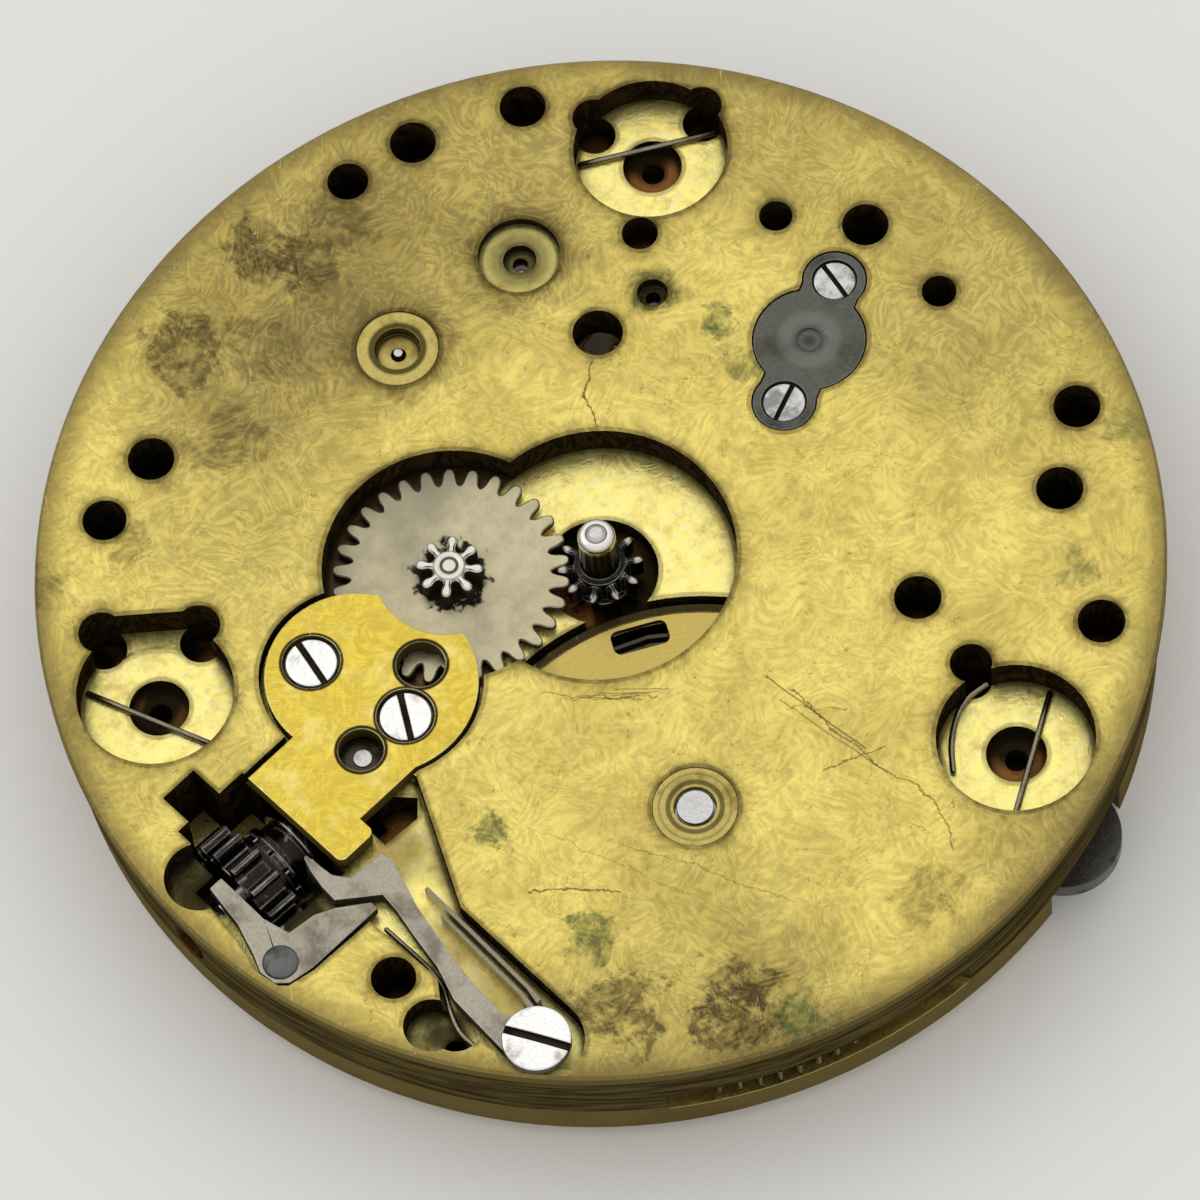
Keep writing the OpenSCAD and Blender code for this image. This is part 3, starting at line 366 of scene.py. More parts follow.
BARREL, THIRD, FOURTH = (4.57, 10.2), (5.5, -7.5), (-0.48, -11.89)
ESCAPE, PALLET, BALANCE = (-6.55, -11.56), (-9.10, -6.74), (-12.01, -1.04)
MINUTE, CROWN, CLICK = (4.35, -3.68), (12.2, 0.0), (-4.1, 7.0)
BRIDGE_SCREWS = [(-5.6, 15.2), (18.9, 5.6), (18.2, -5.6), (14, -12.9), (1.6, -19), (-9.2, -16.6)]
CAP_SCREWS = [(-14.47, -2.22, 80), (-9.48, 0.22, 22)]
COVER_SCREWS = [(9.75, -0.55, 60), (10.65, -4.74, 79)]
CASE_SCREWS = [(-5.57, 19.42), (5.57, -19.42)]
screws = {
    "cap_screws": [(x, y, 0.83, 0.02, 0.27, turn, 0.4, 1.4, 0.17) for x, y, turn in CAP_SCREWS],
    "cover_screws": [(*under_cover(x, y), 1.0, 0.08, 0.45, turn, 0.35, 2.2) for x, y, turn in COVER_SCREWS],
    "spring_screw": [(*under_cover(15.7, 12.5), 1.3, -0.42, -0.02, 119.3, 0.42, 2.3, 0.30)],
    "ratchet_screw": [(*BARREL, 1.3, 5.8, 5.5, 15, 0.3, 5.3)],
    "click_screw": [(*CLICK, 0.95, 5.8, 5.5, 40, 0.4, 4.55)],
    "bridge_screws": [(*at, 1.1, 5.5, 5.0, 30 + 47 * i, 0.45, 2.25) for i, at in enumerate(BRIDGE_SCREWS)]
    + [(*CROWN, 1.1, 6.05, 5.7, 70, 0.4, 4.1), (-12.2, 12.6, 1.2, 6.3, 5.8, 20, 0.4, 2.35),
       (-14.6, -10.6, 0.8, 4.55, 4.18, 75, 0.4, 2.35)],
    "case_screws": [(x, y, 2.2, 4.6, 3.7, 25, 0.55, 2.05) for x, y in CASE_SCREWS],
}
for node, group in screws.items():
    sheets = [sheet for one in group for sheet in screw_sheets(*one)]
    if node == "spring_screw":
        sheets.append(disc(*group[0][:2], 0.55, -0.04, 0.78))
    if node == "click_screw":
        sheets.append(disc(*CLICK, 0.55, 5.52, 5.0))
    piece_for(node, sheets)

# %% [markdown]
# ## Wires, spiral and jewels
# The dial feet are held by straight spring wires that lie across their sinks, and a bent wire presses on the
# yoke. Real wire is round and its bends are soft, so each is a ring of points carried along a path whose
# corners were cut three times. The hairspring is a flat ribbon on a spiral. A jewel is a turned ring with an
# oil cup.

# %% Wires, spiral and jewels
def soft_path(corners, times=3):
    """Cuts every corner at a quarter of its sides, several times over. The ends stay."""
    path = np.array(corners, float)
    for _ in range(times):
        first, second = path[:-1], path[1:]
        cut = np.stack([0.75 * first + 0.25 * second, 0.25 * first + 0.75 * second], axis=1).reshape(-1, 2)
        path = np.concatenate([path[:1], cut, path[-1:]])
    return path


def wire(path, depth, radius, columns=12):
    """A round wire along a flat path: ring i lies square to the path at point i, and the ends are round."""
    ahead = np.gradient(path, axis=0)
    ahead /= np.linalg.norm(ahead, axis=1)[:, None]
    tips = radius * np.array([1.0, 0.3, 0.0])
    path = np.concatenate([path[0] - tips[:, None] * ahead[0], path[1:-1],
                           path[-1] + tips[::-1, None] * ahead[-1]])
    ahead = np.concatenate([ahead[[0, 0]], ahead, ahead[[-1, -1]]])
    size = np.ones(len(path))
    size[[0, -1]], size[[1, -2]] = 0.0, 0.75
    aside = np.stack([-ahead[:, 1], ahead[:, 0]], axis=1)
    turn = np.linspace(0, 2 * np.pi, columns, endpoint=False)
    flat = path[:, None, :] + (radius * size)[:, None, None] * np.cos(turn)[None, :, None] * aside[:, None, :]
    level = DIAL_FACE - depth + (radius * size)[:, None] * np.sin(turn)[None, :]
    return np.concatenate([flat, level[..., None]], axis=-1), True


FOOT_CIRCLE, LATCH_DEPTH, LATCH_RADIUS = 17.58, 1.36, 0.12
FOOT_PLACES = [tuple(FOOT_CIRCLE * towards(0, degrees).xy) for degrees in (220.5, 334.5, 109.75)]
latches = []
for (x, y), degrees, off in zip(FOOT_PLACES, (150.4, 111.8, 31.2), (0.75, -0.6, 0.6)):
    c, s = math.cos(math.radians(degrees)), math.sin(math.radians(degrees))
    ends = [(x + t * c - off * s, y + t * s + off * c) for t in (-2.72, -1.0, 1.0, 2.72)]
    latches.append(wire(np.array(ends), LATCH_DEPTH, LATCH_RADIUS))
bent_latch = soft_path([(-7.14, 13.72), (-5.87, 13.60), (-4.52, 14.45), (-3.70, 15.46)])
latches.append(wire(bent_latch, LATCH_DEPTH, LATCH_RADIUS))
piece_for("latch_wires", latches, 60)

YOKE_WIRE = [(16.25, 5.0), (16.22, 7.9), (16.85, 8.95), (17.3, 9.9), (17.28, 10.75)]
yoke_wire = [under_cover(x, y) for x, y in YOKE_WIRE]
piece_for("wire_spring", [wire(soft_path(yoke_wire), 0.61, 0.1)], 60)

COILS, STEPS, COIL_START, COIL_END, RIBBON = 9, 72, 0.75, 3.6, 0.08
angle = np.linspace(0, 2 * np.pi * COILS, COILS * STEPS + 1)
outer_edge = COIL_START + (COIL_END - COIL_START) * angle / angle[-1]
inner_edge = outer_edge - RIBBON
edges_of_ribbon = [(inner_edge, 5.08), (outer_edge, 5.08), (outer_edge, 5.28), (inner_edge, 5.28)]
ribbon = np.stack([np.stack([BALANCE[0] + r * np.cos(angle), BALANCE[1] + r * np.sin(angle),
                             np.full_like(r, DIAL_FACE - depth)], axis=-1) for r, depth in edges_of_ribbon],
                  axis=1)
caps = [np.repeat(ribbon[[i]].mean(axis=1, keepdims=True), 4, axis=1) for i in (0, -1)]
piece_for("hairspring", [(np.concatenate([caps[0], ribbon, caps[1]]), True)])

rivet = under_cover(20.0, 3.25)
dome = [(0.68 * math.sin(t), 0.15 - 0.13 * math.cos(t)) for t in np.linspace(0, math.pi / 2, 9)]
piece_for("lever_rivet", [turned(*rivet, dome + [(0.68, 0.19), (0, 0.19)]),
                          disc(*rivet, 0.45, 0.15, 0.85), disc(*rivet, 0.7, 0.72, 0.88),
                          turned(*rivet, [(0, 0.8), (0.4, 0.8), (0.4, 1.4), (0.25, 1.5), (0, 1.5)], 28)])


def ring_jewel(x, y, radius, hole, top, low, rim=0.05):
    """A ring whose profile runs from the hole over the oil cup and the rounded rim and back below."""
    cup, middle = hole + 0.45 * (radius - hole), (top + low) / 2
    profile = [(hole, middle - 0.05), (cup, top), (radius - rim, top), (radius, top + rim),
               (radius, low - rim), (radius - rim, low), (cup, low), (hole, middle + 0.05),
               (hole, middle - 0.05)]
    return turned(x, y, profile)


PIVOT_GAP = 0.02
# place, radius, radius of the pivot, and the depths of the two faces
JEWELS = [(FOURTH, 0.7, 0.17, 1.4, 1.7), (THIRD, 0.7, 0.15, 2.05, 2.35), (ESCAPE, 0.7, 0.12, 1.4, 1.75),
          (PALLET, 0.7, 0.12, 1.4, 1.75), (BALANCE, 0.75, 0.09, 0.75, 1.05), ((0, 0), 0.9, 0.32, 4.75, 5.15),
          (THIRD, 0.7, 0.15, 4.7, 5.0), (FOURTH, 0.7, 0.15, 4.3, 4.6), (ESCAPE, 0.7, 0.12, 4.3, 4.6),
          (PALLET, 0.55, 0.12, 3.85, 4.1), (BALANCE, 0.75, 0.09, 5.7, 6.0)]
piece_for("jewels", [ring_jewel(*place, radius, pivot + PIVOT_GAP, top, low)
                     for place, radius, pivot, top, low in JEWELS])

# %% [markdown]
# ## The wheels under the hands
# The minute wheel and the cannon pinion are what the eye meets first. In the picture the wheel's teeth are
# pointed, with gaps that narrow downwards, and the pinion's leaves have soft ends. A toothed disc is seven
# rings that all have the outline's angles: from the hole out to the teeth, over the filed edge, down, and
# back below.

# %% Minute wheel and cannon pinion
def tooth_line(teeth, half_tooth):
    """Angles and radii once round. half_tooth runs from gap to tip as (share of the pitch, radius)."""
    there = [(-share, radius) for share, radius in half_tooth]
    back = [(share, radius) for share, radius in half_tooth[:0:-1]]
    share, radius = np.array(there + back, float).T
    angle = (np.arange(teeth)[:, None] + share) * 2 * np.pi / teeth
    return angle.ravel(), np.tile(radius, teeth)


def toothed(x, y, turn, line, hole, top, low, chamfer=0.05):
    """Seven rings from the hole over the top, down the teeth and back below.

    The rings at the two faces are drawn in by the chamfer along the outline's normal, its tangent turned a
    quarter.
    """
    angle, radius = line[0] + math.radians(turn), line[1]
    circle = np.stack([np.cos(angle), np.sin(angle)], axis=1)
    teeth = radius[:, None] * circle
    ahead = np.roll(teeth, -1, axis=0) - np.roll(teeth, 1, axis=0)
    ahead /= np.linalg.norm(ahead, axis=1)[:, None]
    filed = teeth - chamfer * np.stack([ahead[:, 1], -ahead[:, 0]], axis=1)
    rings = [(hole * circle, top), (filed, top), (teeth, top + chamfer), (teeth, low - chamfer), (filed, low),
             (hole * circle, low), (hole * circle, top)]
    return np.stack([np.column_stack([flat + (x, y), np.full(len(flat), DIAL_FACE - depth)])
                     for flat, depth in rings]), True


MINUTE_TURN, STAR_TURN, STUD_HOLE = 120.36, 131.36, 0.37
minute_line = tooth_line(30, [(.5, 3.82), (.40, 3.90), (.33, 4.04), (.29, 4.22), (.24, 4.38), (.16, 4.50),
                              (.06, 4.55)])
star_line = tooth_line(8, [(.5, .65), (.33, .67), (.21, .80), (.23, 1.05), (.17, 1.20), (.07, 1.28)])
cannon_line = tooth_line(10, [(.5, .98), (.32, 1.0), (.18, 1.12), (.17, 1.42), (.11, 1.56), (.04, 1.63)])
hub = [(0, .05), (.14, .02), (.24, .04), (.30, .10), (.36, .06), (.48, .02), (.56, .03), (.62, .10),
       (.62, .95), (STUD_HOLE, .95), (STUD_HOLE, .25), (0, .25)]
boss = [(STUD_HOLE, 1.25), (.8, 1.25), (.8, 1.4), (STUD_HOLE, 1.4), (STUD_HOLE, 1.25)]
piece_for("minute_wheel", [toothed(*MINUTE, MINUTE_TURN, minute_line, STUD_HOLE, .93, 1.28, 0.06),
                           toothed(*MINUTE, STAR_TURN, star_line, .5, .1, .95, 0.07),
                           turned(*MINUTE, hub), turned(*MINUTE, boss)])
pipe = [(.42, -1.77), (.50, -1.77), (.60, -1.73), (.68, -1.64), (.72, -1.52), (.73, -1.38), (.73, .50),
        (.78, .60), (.90, .65), (.97, .68), (1.0, .74), (1.0, .95), (.42, .95), (.42, -1.77)]
collar = [(.42, 1.95), (1.15, 1.95), (1.2, 2.0), (1.2, 2.3), (.42, 2.3), (.42, 1.95)]
piece_for("cannon_pinion", [toothed(0, 0, 0, cannon_line, .42, .8, 2.0, 0.09), turned(0, 0, pipe, 48),
                            turned(0, 0, collar)])

# %% [markdown]
# ## Effects that every metal here shares
# Old gilt and steel differ in colour, not in what time did to them. Each effect is one node group with named
# inputs: the grain of the surface, the short strokes that cleaning left, hairline scratches, a stain around a
# point, the grime around a hole, a long scratch between two points, worn edges, and a darkening in corners
# that is dirt and painted shade together. They read the piece's own Object coordinates in millimetres, and a
# wave that shifts those places a little so that no outline is a clean circle.

# %% Node groups
def new_group(name, inputs, outputs):
    """An empty node group with these sockets. Returns its bench, its inputs and its output node."""
    tree = bpy.data.node_groups.new(name, "ShaderNodeTree")
    for label, kind, value in inputs:
        socket = tree.interface.new_socket(name=label, in_out="INPUT", socket_type="NodeSocket" + kind)
        socket.default_value = value
    for label, kind in outputs:
        tree.interface.new_socket(name=label, in_out="OUTPUT", socket_type="NodeSocket" + kind)
    group_in = tree.nodes.new("NodeGroupInput")
    group_out = tree.nodes.new("NodeGroupOutput")
    return Bench(tree), group_in.outputs, group_out


def close_group(bench, group_out, **results):
    """Links the results to the group's outputs by name and gives the group back."""
    bench.feed(group_out, results)
    return bench.tree


PLACE, ORIGIN = ("Place", "Vector", (0, 0, 0)), ("Centre", "Vector", (0, 0, 0))
b, g, out = new_group("grain", [PLACE, ("Size", "Float", 1.0)], [("Clouds", "Float"), ("Grain", "Float")])
clouds = b.noise(g["Place"], b.over(0.35, g["Size"]), 5.0, 0.6)
fine = b.noise(g["Place"], b.over(5.0, g["Size"]), 4.0, 0.7)
GRAIN = close_group(b, out, Clouds=clouds, Grain=fine)

b, g, out = new_group("strokes", [PLACE, ("Length", "Float", 1.0)], [("Stroke", "Float")])
shorter = b.scaled(g["Place"], b.over(1.0, g["Length"]))
swirl = b.wave(shorter, 0.22, 1.0)
swirled = b.vector("ADD", shorter, b.vector("MULTIPLY", swirl, (5.0, 5.0, 0)))
total, weight = None, None
for turn, seed in ((0.35, 5.3), (1.15, 21.9), (1.95, 47.1), (2.75, 71.7)):
    stroke = b.noise(b.stretch(swirled, (1.0, 4.2, 0.6), turn, (seed, seed, 0)), 1.0, 2.0, 0.6)
    patch = b.noise(b.stretch(shorter, shift=(seed, 0, seed)), 0.75, 1.0)
    share = b.rise(patch, 0.47, 0.56, 0.02, 1.0)
    part = b.times(stroke, share)
    total = part if total is None else b.plus(total, part)
    weight = share if weight is None else b.plus(weight, share)
STROKES = close_group(b, out, Stroke=b.rise(b.over(total, weight), 0.34, 0.66))

b, g, out = new_group("hairlines", [PLACE, ("Amount", "Float", 0.5)], [("Mask", "Float")])
total = None
for turn, seed in ((0.35, 3.1), (1.25, 17.7), (2.2, 41.3), (2.75, 63.9)):
    along = b.stretch(g["Place"], (0.16, 3.4, 0.5), turn, (seed, seed, 0))
    thin = b.off(b.noise(along, 1.0, 1.0, 0.4), 0.5)
    where = b.rise(b.noise(b.stretch(g["Place"], (1, 1, 1), turn, (seed, 0, seed)), 0.28, 2.0), 0.5, 0.62)
    line = b.times(b.rise(thin, 0.0035, 0.0), where)
    total = line if total is None else b.most(total, line)
HAIRLINES = close_group(b, out, Mask=b.times(total, g["Amount"], clamp=True))

b, g, out = new_group("stain", [PLACE, ("Wave", "Vector", (0, 0, 0)), ORIGIN, ("Radius", "Float", 1.0),
                                ("Ragged", "Float", 0.6)], [("Mask", "Float")])
push = b.scaled(g["Wave"], b.times(g["Ragged"], b.times(g["Radius"], 3.0)))
reach = b.vector("DISTANCE", b.vector("ADD", g["Place"], push), g["Centre"])
STAIN = close_group(b, out, Mask=b.rise(b.over(reach, g["Radius"]), 1.0, 0.25))

b, g, out = new_group("hole_grime", [PLACE, ORIGIN, ("Radius", "Float", 1.0), ("Width", "Float", 0.3)],
                      [("Mask", "Float")])
flat = b.vector("MULTIPLY", g["Place"], (1, 1, 0))
away = b.off(b.vector("DISTANCE", flat, g["Centre"]), g["Radius"])
GRIME = close_group(b, out, Mask=b.rise(b.over(away, g["Width"]), 1.0, 0.0))

b, g, out = new_group("long_scratch",
                      [PLACE, ("Wave", "Vector", (0, 0, 0)), ("From", "Vector", (0, 0, 0)),
                       ("To", "Vector", (1, 0, 0)), ("Width", "Float", 0.06)], [("Mask", "Float")])
span = b.vector("SUBTRACT", g["To"], g["From"])
bent = b.vector("ADD", g["Place"], b.vector("MULTIPLY", g["Wave"], (0.9, 0.9, 0)))
start = b.vector("SUBTRACT", b.vector("MULTIPLY", bent, (1, 1, 0)), g["From"])
share = b.over(b.vector("DOT_PRODUCT", start, span), b.vector("DOT_PRODUCT", span, span), clamp=True)
aside = b.over(b.vector("DISTANCE", start, b.scaled(span, share)), g["Width"])
SCRATCH = close_group(b, out, Mask=b.rise(aside, 1.0, 0.3))

b, g, out = new_group("edges", [("Radius", "Float", 0.05)], [("Mask", "Float"), ("Normal", "Vector")])
rounded = b.node("Bevel", {"Radius": g["Radius"]}, samples=4).outputs[0]
straight = b.node("NewGeometry", {}).outputs["Normal"]
bend = b.minus(1.0, b.vector("DOT_PRODUCT", rounded, straight))
EDGES = close_group(b, out, Mask=b.rise(bend, 0.003, 0.06), Normal=rounded)

# ambient occlusion darkens corners, creases and holes: dirt and painted shade in one mask
b, g, out = new_group("corners", [("Reach", "Float", 0.5)], [("Mask", "Float")])
open_sky = b.node("AmbientOcclusion", {"Distance": b.times(g["Reach"], MM)}, samples=6, only_local=True)
CORNER_SHADE_AND_DIRT = close_group(b, out, Mask=b.rise(open_sky.outputs["AO"], 0.90, 0.35))
print("node groups", [t.name for t in bpy.data.node_groups])


# %% [markdown]
# ## A metal from its recipe
# Every metal starts from the same recipe: a clean colour and a tarnished one, mixed by soft clouds; fine
# grain in colour, roughness and height; scratches and worn edges that show the bright metal; dirt and
# painted shade in the corners. A wheel is brushed round its own axis and a lever along its length, which is
# only a question of how the grain is stretched. Upright walls can have a dark colour of their own, which is
# painted shade on the sides.

# %% The metal recipe
def start_material(name):
    """A material with its bench, its shader and the piece's own coordinates in millimetres."""
    material = bpy.data.materials.new(name)
    material.use_nodes = True
    bench = Bench(material.node_tree)
    shader = material.node_tree.nodes["Principled BSDF"]
    own = bench.node("TexCoord", {})
    place = bench.stretch(own.outputs["Object"], (1000, 1000, 1000))
    return material, bench, shader, place, own.outputs["Normal"]


def depth_of(bench, place):
    """Depth below the dial face in millimetres."""
    return bench.minus(DIAL_FACE, bench.z_of(place))


def from_axis(bench, place, centre):
    """Distance in millimetres from an upright axis."""
    return bench.vector("DISTANCE", bench.vector("MULTIPLY", place, (1, 1, 0)), (centre[0], centre[1], 0))


def upright(bench, facing):
    """A mask for upright walls, from the share of the surface's direction that points up or down."""
    level = bench.calc("ABSOLUTE", bench.z_of(facing))
    return bench.rise(level, 0.7, 0.3)


def finish_metal(bench, shader, colour, roughness, matt, **bump):
    """Wires a metal to its shader. Dirt and painted shade are no metal, so the metallic share falls where matt
    rises.
    """
    shader.inputs["Specular IOR Level"].default_value = DIRT_SHINE
    bench.feed(shader, {"Base Color": colour, "Roughness": roughness,
                        "Metallic": bench.minus(1.0, matt, clamp=True),
                        "Normal": bench.node("Bump", bump).outputs[0]})


# dirt and painted shade have no shine of their own, which keeps them matt
DIRT_SHINE = 0.0
DIRT_AND_SHADE_COLOUR = (0.03, 0.02, 0.01)


def metal(name, clean, dull, dull_share=0.4, rough=0.3, grain=1.0, scratches=0.5, worn=None, edge=0.04,
          dirt_and_shade=0.6, brushed=None, centre=(0, 0), bump=0.3, reach=0.5, wall_shade=None, marks=None):
    """A metal after the shared recipe.

    brushed is None, "round", or an angle in radians of the brushing. marks is a function of the bench, the
    place and the colour so far, which paints what only this piece has and gives back the colour.
    """
    material, bench, shader, place, facing = start_material(name)
    grains = bench.use(GRAIN, Place=place, Size=grain)
    share = bench.rise(grains["Clouds"], 0.72 - 0.5 * dull_share, 0.92 - 0.5 * dull_share)
    colour = bench.mix(share, clean, dull)
    fine = grains["Grain"]
    if brushed == "round":
        rings = bench.node("CombineXYZ", {0: from_axis(bench, place, centre)}).outputs[0]
        fine = bench.plus(bench.times(fine, 0.45), bench.times(bench.noise(rings, 14.0, 3.0), 0.55))
    elif brushed is not None:
        lines = bench.noise(bench.stretch(place, (1.2, 22, 4), brushed), 1.0, 3.0)
        fine = bench.plus(bench.times(fine, 0.4), bench.times(lines, 0.6))
    colour = bench.shade(colour, bench.rise(fine, 0.3, 0.7, 0.84, 1.12))
    if marks:
        colour = marks(bench, place, colour)
    lines = bench.use(HAIRLINES, Place=place, Amount=scratches)["Mask"]
    bright = worn or tuple(min(1.0, 1.25 * v) for v in clean)
    edges = bench.use(EDGES, Radius=edge * MM)
    wear = bench.times(edges["Mask"], bench.rise(grains["Clouds"], 0.35, 0.6, 0.25, 0.9))
    colour = bench.mix(bench.most(wear, bench.times(lines, 0.7)), colour, bright)
    # dirt and painted shade in the corners, from the occlusion mask
    shade_and_dirt_in_corner = bench.times(bench.use(CORNER_SHADE_AND_DIRT, Reach=reach)["Mask"], dirt_and_shade)
    matt = shade_and_dirt_in_corner
    # upright walls take a dark colour of their own: painted shade on the sides
    if wall_shade:
        wall = bench.times(upright(bench, facing), 0.92)
        colour = bench.mix(wall, colour, wall_shade)
        matt = bench.most(shade_and_dirt_in_corner, wall)
    colour = bench.mix(shade_and_dirt_in_corner, colour, DIRT_AND_SHADE_COLOUR)
    roughness = bench.plus(bench.rise(fine, 0.25, 0.75, 0.8 * rough, 1.25 * rough),
                           bench.times(bench.most(shade_and_dirt_in_corner, share), 0.18))
    relief = bench.minus(fine, bench.times(lines, 0.6))
    finish_metal(bench, shader, colour, roughness, matt, Strength=bump, Distance=0.01 * MM, Height=relief,
                 Normal=edges["Normal"])
    return material


def dress(material, *names):
    """Gives these CAD nodes, and the pieces made for them, the material in place of what they came with."""
    for name in names:
        nodes[name].data.materials.clear()
        nodes[name].data.materials.append(material)
        if name + "_made" in bpy.data.objects:
            bpy.data.objects[name + "_made"].data.materials.append(material)


def weld(name):
    """The loose triangles of a CAD node are joined, so that the next modifier sees one surface."""
    nodes[name].modifiers.new("weld", "WELD").merge_threshold = 0.001 * MM


def soften(width, *names):
    """Real edges are broken by a file, so sharp edges get a chamfer."""
    for name in names:
        weld(name)
        bevel = nodes[name].modifiers.new("soften", "BEVEL")
        bevel.width = width * MM
        bevel.segments = 2
        bevel.limit_method = "ANGLE"
        bevel.angle_limit = math.radians(35)


def ease(clearance, *names):
    """Takes a hair off a turning piece, so that its facets pass those of its bearing."""
    for name in names:
        weld(name)
        shrink = nodes[name].modifiers.new("ease", "DISPLACE")
        shrink.mid_level = 0.0
        shrink.strength = -clearance * MM


def star_shade_and_highlight(bench, place, colour):
    """Painted shade round the small star of leaves and in the cut ring of the hub, dark as old grease; the
    leaves' tops are painted bright, worn steel and painted highlight.
    """
    away, depth = from_axis(bench, place, MINUTE), depth_of(bench, place)
    spread = bench.plus(away, bench.rise(bench.noise(place, 1.6, 3.0), 0.3, 0.7, -0.35, 0.35))
    shade_round_star = bench.times(bench.rise(spread, 1.5, 1.25), bench.rise(depth, 0.18, 0.3))
    colour = bench.mix(shade_round_star, colour, (0.014, 0.012, 0.008))
    colour = bench.mix(bench.rise(depth, 0.19, 0.15), colour, (0.74, 0.72, 0.64))
    groove_shade = bench.times(bench.rise(bench.off(away, 0.31), 0.08, 0.03), bench.rise(depth, 0.3, 0.2))
    return bench.mix(groove_shade, colour, (0.06, 0.055, 0.045))


def pipe_highlights(bench, place, colour):
    """The cannon pinion's end above is painted bright as a highlight, and the outer ends of its leaves carry
    painted glints.
    """
    depth, away = depth_of(bench, place), from_axis(bench, place, (0, 0))
    colour = bench.mix(bench.rise(depth, -1.2, -1.5), colour, (0.80, 0.78, 0.74))
    tips = bench.times(bench.rise(away, 1.25, 1.4), bench.rise(depth, 1.1, 0.9))
    return bench.mix(bench.times(tips, 0.8), colour, (0.60, 0.56, 0.50))


def teeth_glints_and_wear(bench, place, colour):
    """Patches on the teeth painted bright, partly wear and partly painted glint."""
    glint_patch = bench.rise(bench.noise(place, 1.1, 2.0), 0.60, 0.66, 0.0, 0.85)
    return bench.mix(glint_patch, colour, (0.30, 0.28, 0.26))


def barrel_rim_shade(bench, place, colour):
    """The barrel's teeth and the wall below them are painted dark as shade inside the plate."""
    away = from_axis(bench, place, BARREL)
    return bench.mix(bench.rise(away, 6.7, 6.95), colour, (0.040, 0.030, 0.012))


def cap_ring_and_dimple_shade(bench, place, colour):
    """A paler worn ring on the cap, and a dark ring and spot at its middle, painted shade of a small dimple
    that the shape does not have.
    """
    away = from_axis(bench, place, BALANCE)
    ring = bench.rise(bench.off(away, 0.95), 0.45, 0.1, 0.0, 0.45)
    colour = bench.mix(ring, colour, (0.21, 0.21, 0.19))
    edge = bench.rise(bench.off(away, 0.5), 0.09, 0.03, 0.0, 0.8)
    colour = bench.mix(edge, colour, (0.045, 0.043, 0.036))
    return bench.mix(bench.rise(away, 0.3, 0.15, 0.0, 0.75), colour, (0.05, 0.048, 0.04))


def cover_strokes_and_ring_shade(bench, place, colour):
    """Short strokes of cleaning on the cover, and a dark ring round its screws and its two holes, grime and
    painted shade together.
    """
    stroke = bench.use(STROKES, Place=place, Length=0.8)["Stroke"]
    colour = bench.mix(bench.rise(stroke, 0.2, 1.0, 0.5, 0.0), colour, (0.52, 0.37, 0.06))
    colour = bench.mix(bench.rise(bench.noise(place, 0.55, 4.0, 0.7), 0.52, 0.68, 0.0, 0.55), colour,
                       (0.93, 0.78, 0.26))
    for (x, y), radius in COVER_GRIME_AND_SHADE_RINGS:
        x, y = under_cover(x, y)
        ring = bench.use(GRIME, Place=place, Centre=(x, y, 0), Radius=radius, Width=0.17)["Mask"]
        colour = bench.mix(bench.rise(ring, 0.0, 0.6), colour, (0.035, 0.026, 0.008))
    return colour


def bushing_marks(bench, place, colour):
    """The turned rings of the bushings: a dark step round the hole and a dark line at the rim."""
    for (x, y), rings in ((BARREL, ((1.02, 0.16, 0.75), (1.72, 0.10, 0.9), (1.36, 0.08, 0.35))),
                          (FOURTH, ((0.95, 0.30, 0.9), (1.62, 0.10, 0.9)))):
        for radius, width, amount in rings:
            ring = bench.use(GRIME, Place=place, Centre=(x, y, 0), Radius=radius, Width=width)["Mask"]
            ring = bench.times(bench.rise(ring, 0.0, 0.7), amount)
            colour = bench.mix(ring, colour, (0.045, 0.036, 0.010))
    return colour


COVER_GRIME_AND_SHADE_RINGS = [((9.75, -0.55), 1.12), ((10.65, -4.74), 1.12), ((7.86, -1.65), 0.98), ((11.9, -0.75), 0.91)]
soften(0.07, "setting_cover", "end_cap")
soften(0.05, "setting_lever", "yoke", "train_bridge", "barrel_bridge", "balance_cock", "escape_cock",
       "pallet_cock")
ease(0.004, "centre_arbor")
print("recipes ready")

# %% [markdown]
# ## Bridges, wheels and steel
# The train side is gilt as the dial side is, but was never under a dial, so it is cleaner. The wheels are
# brass and brushed round, the winding wheels are steel, and the hairspring is blued.

# %% Finishes of the train side and of the small parts
GILT, GILT_DULL = (0.78, 0.62, 0.20), (0.50, 0.37, 0.11)
bridge_gilt = metal("bridge_gilt", GILT, GILT_DULL, 0.45, 0.32, 0.8, 0.45, dirt_and_shade=0.55,
                    wall_shade=(0.085, 0.064, 0.020))
dress(bridge_gilt, "barrel_bridge", "train_bridge", "escape_cock", "pallet_cock", "balance_cock")
for name, spot in (("centre_wheel", (0, 0)), ("third_wheel", THIRD), ("fourth_wheel", FOURTH),
                   ("escape_wheel", ESCAPE), ("barrel_drum", BARREL), ("balance_wheel", BALANCE)):
    dress(metal(name + "_brass", (0.80, 0.62, 0.27), (0.52, 0.36, 0.13), 0.3, 0.26, 0.7, 0.3, brushed="round",
                centre=spot, marks=barrel_rim_shade if name == "barrel_drum" else None), name)
dress(metal("timing_brass", (0.82, 0.66, 0.30), (0.5, 0.36, 0.14), 0.2, 0.2, 0.5, 0.1), "balance_screws",
      "collet")
dress(metal("bushing_brass", (0.52, 0.42, 0.13), (0.34, 0.26, 0.07), 0.5, 0.30, 0.5, 0.3,
            marks=bushing_marks), "bushings")
for name, spot in (("ratchet_wheel", BARREL), ("crown_wheel", CROWN)):
    dress(metal(name + "_steel", (0.62, 0.61, 0.60), (0.38, 0.36, 0.33), 0.3, 0.22, 0.8, 0.4, brushed="round",
                centre=spot), name)
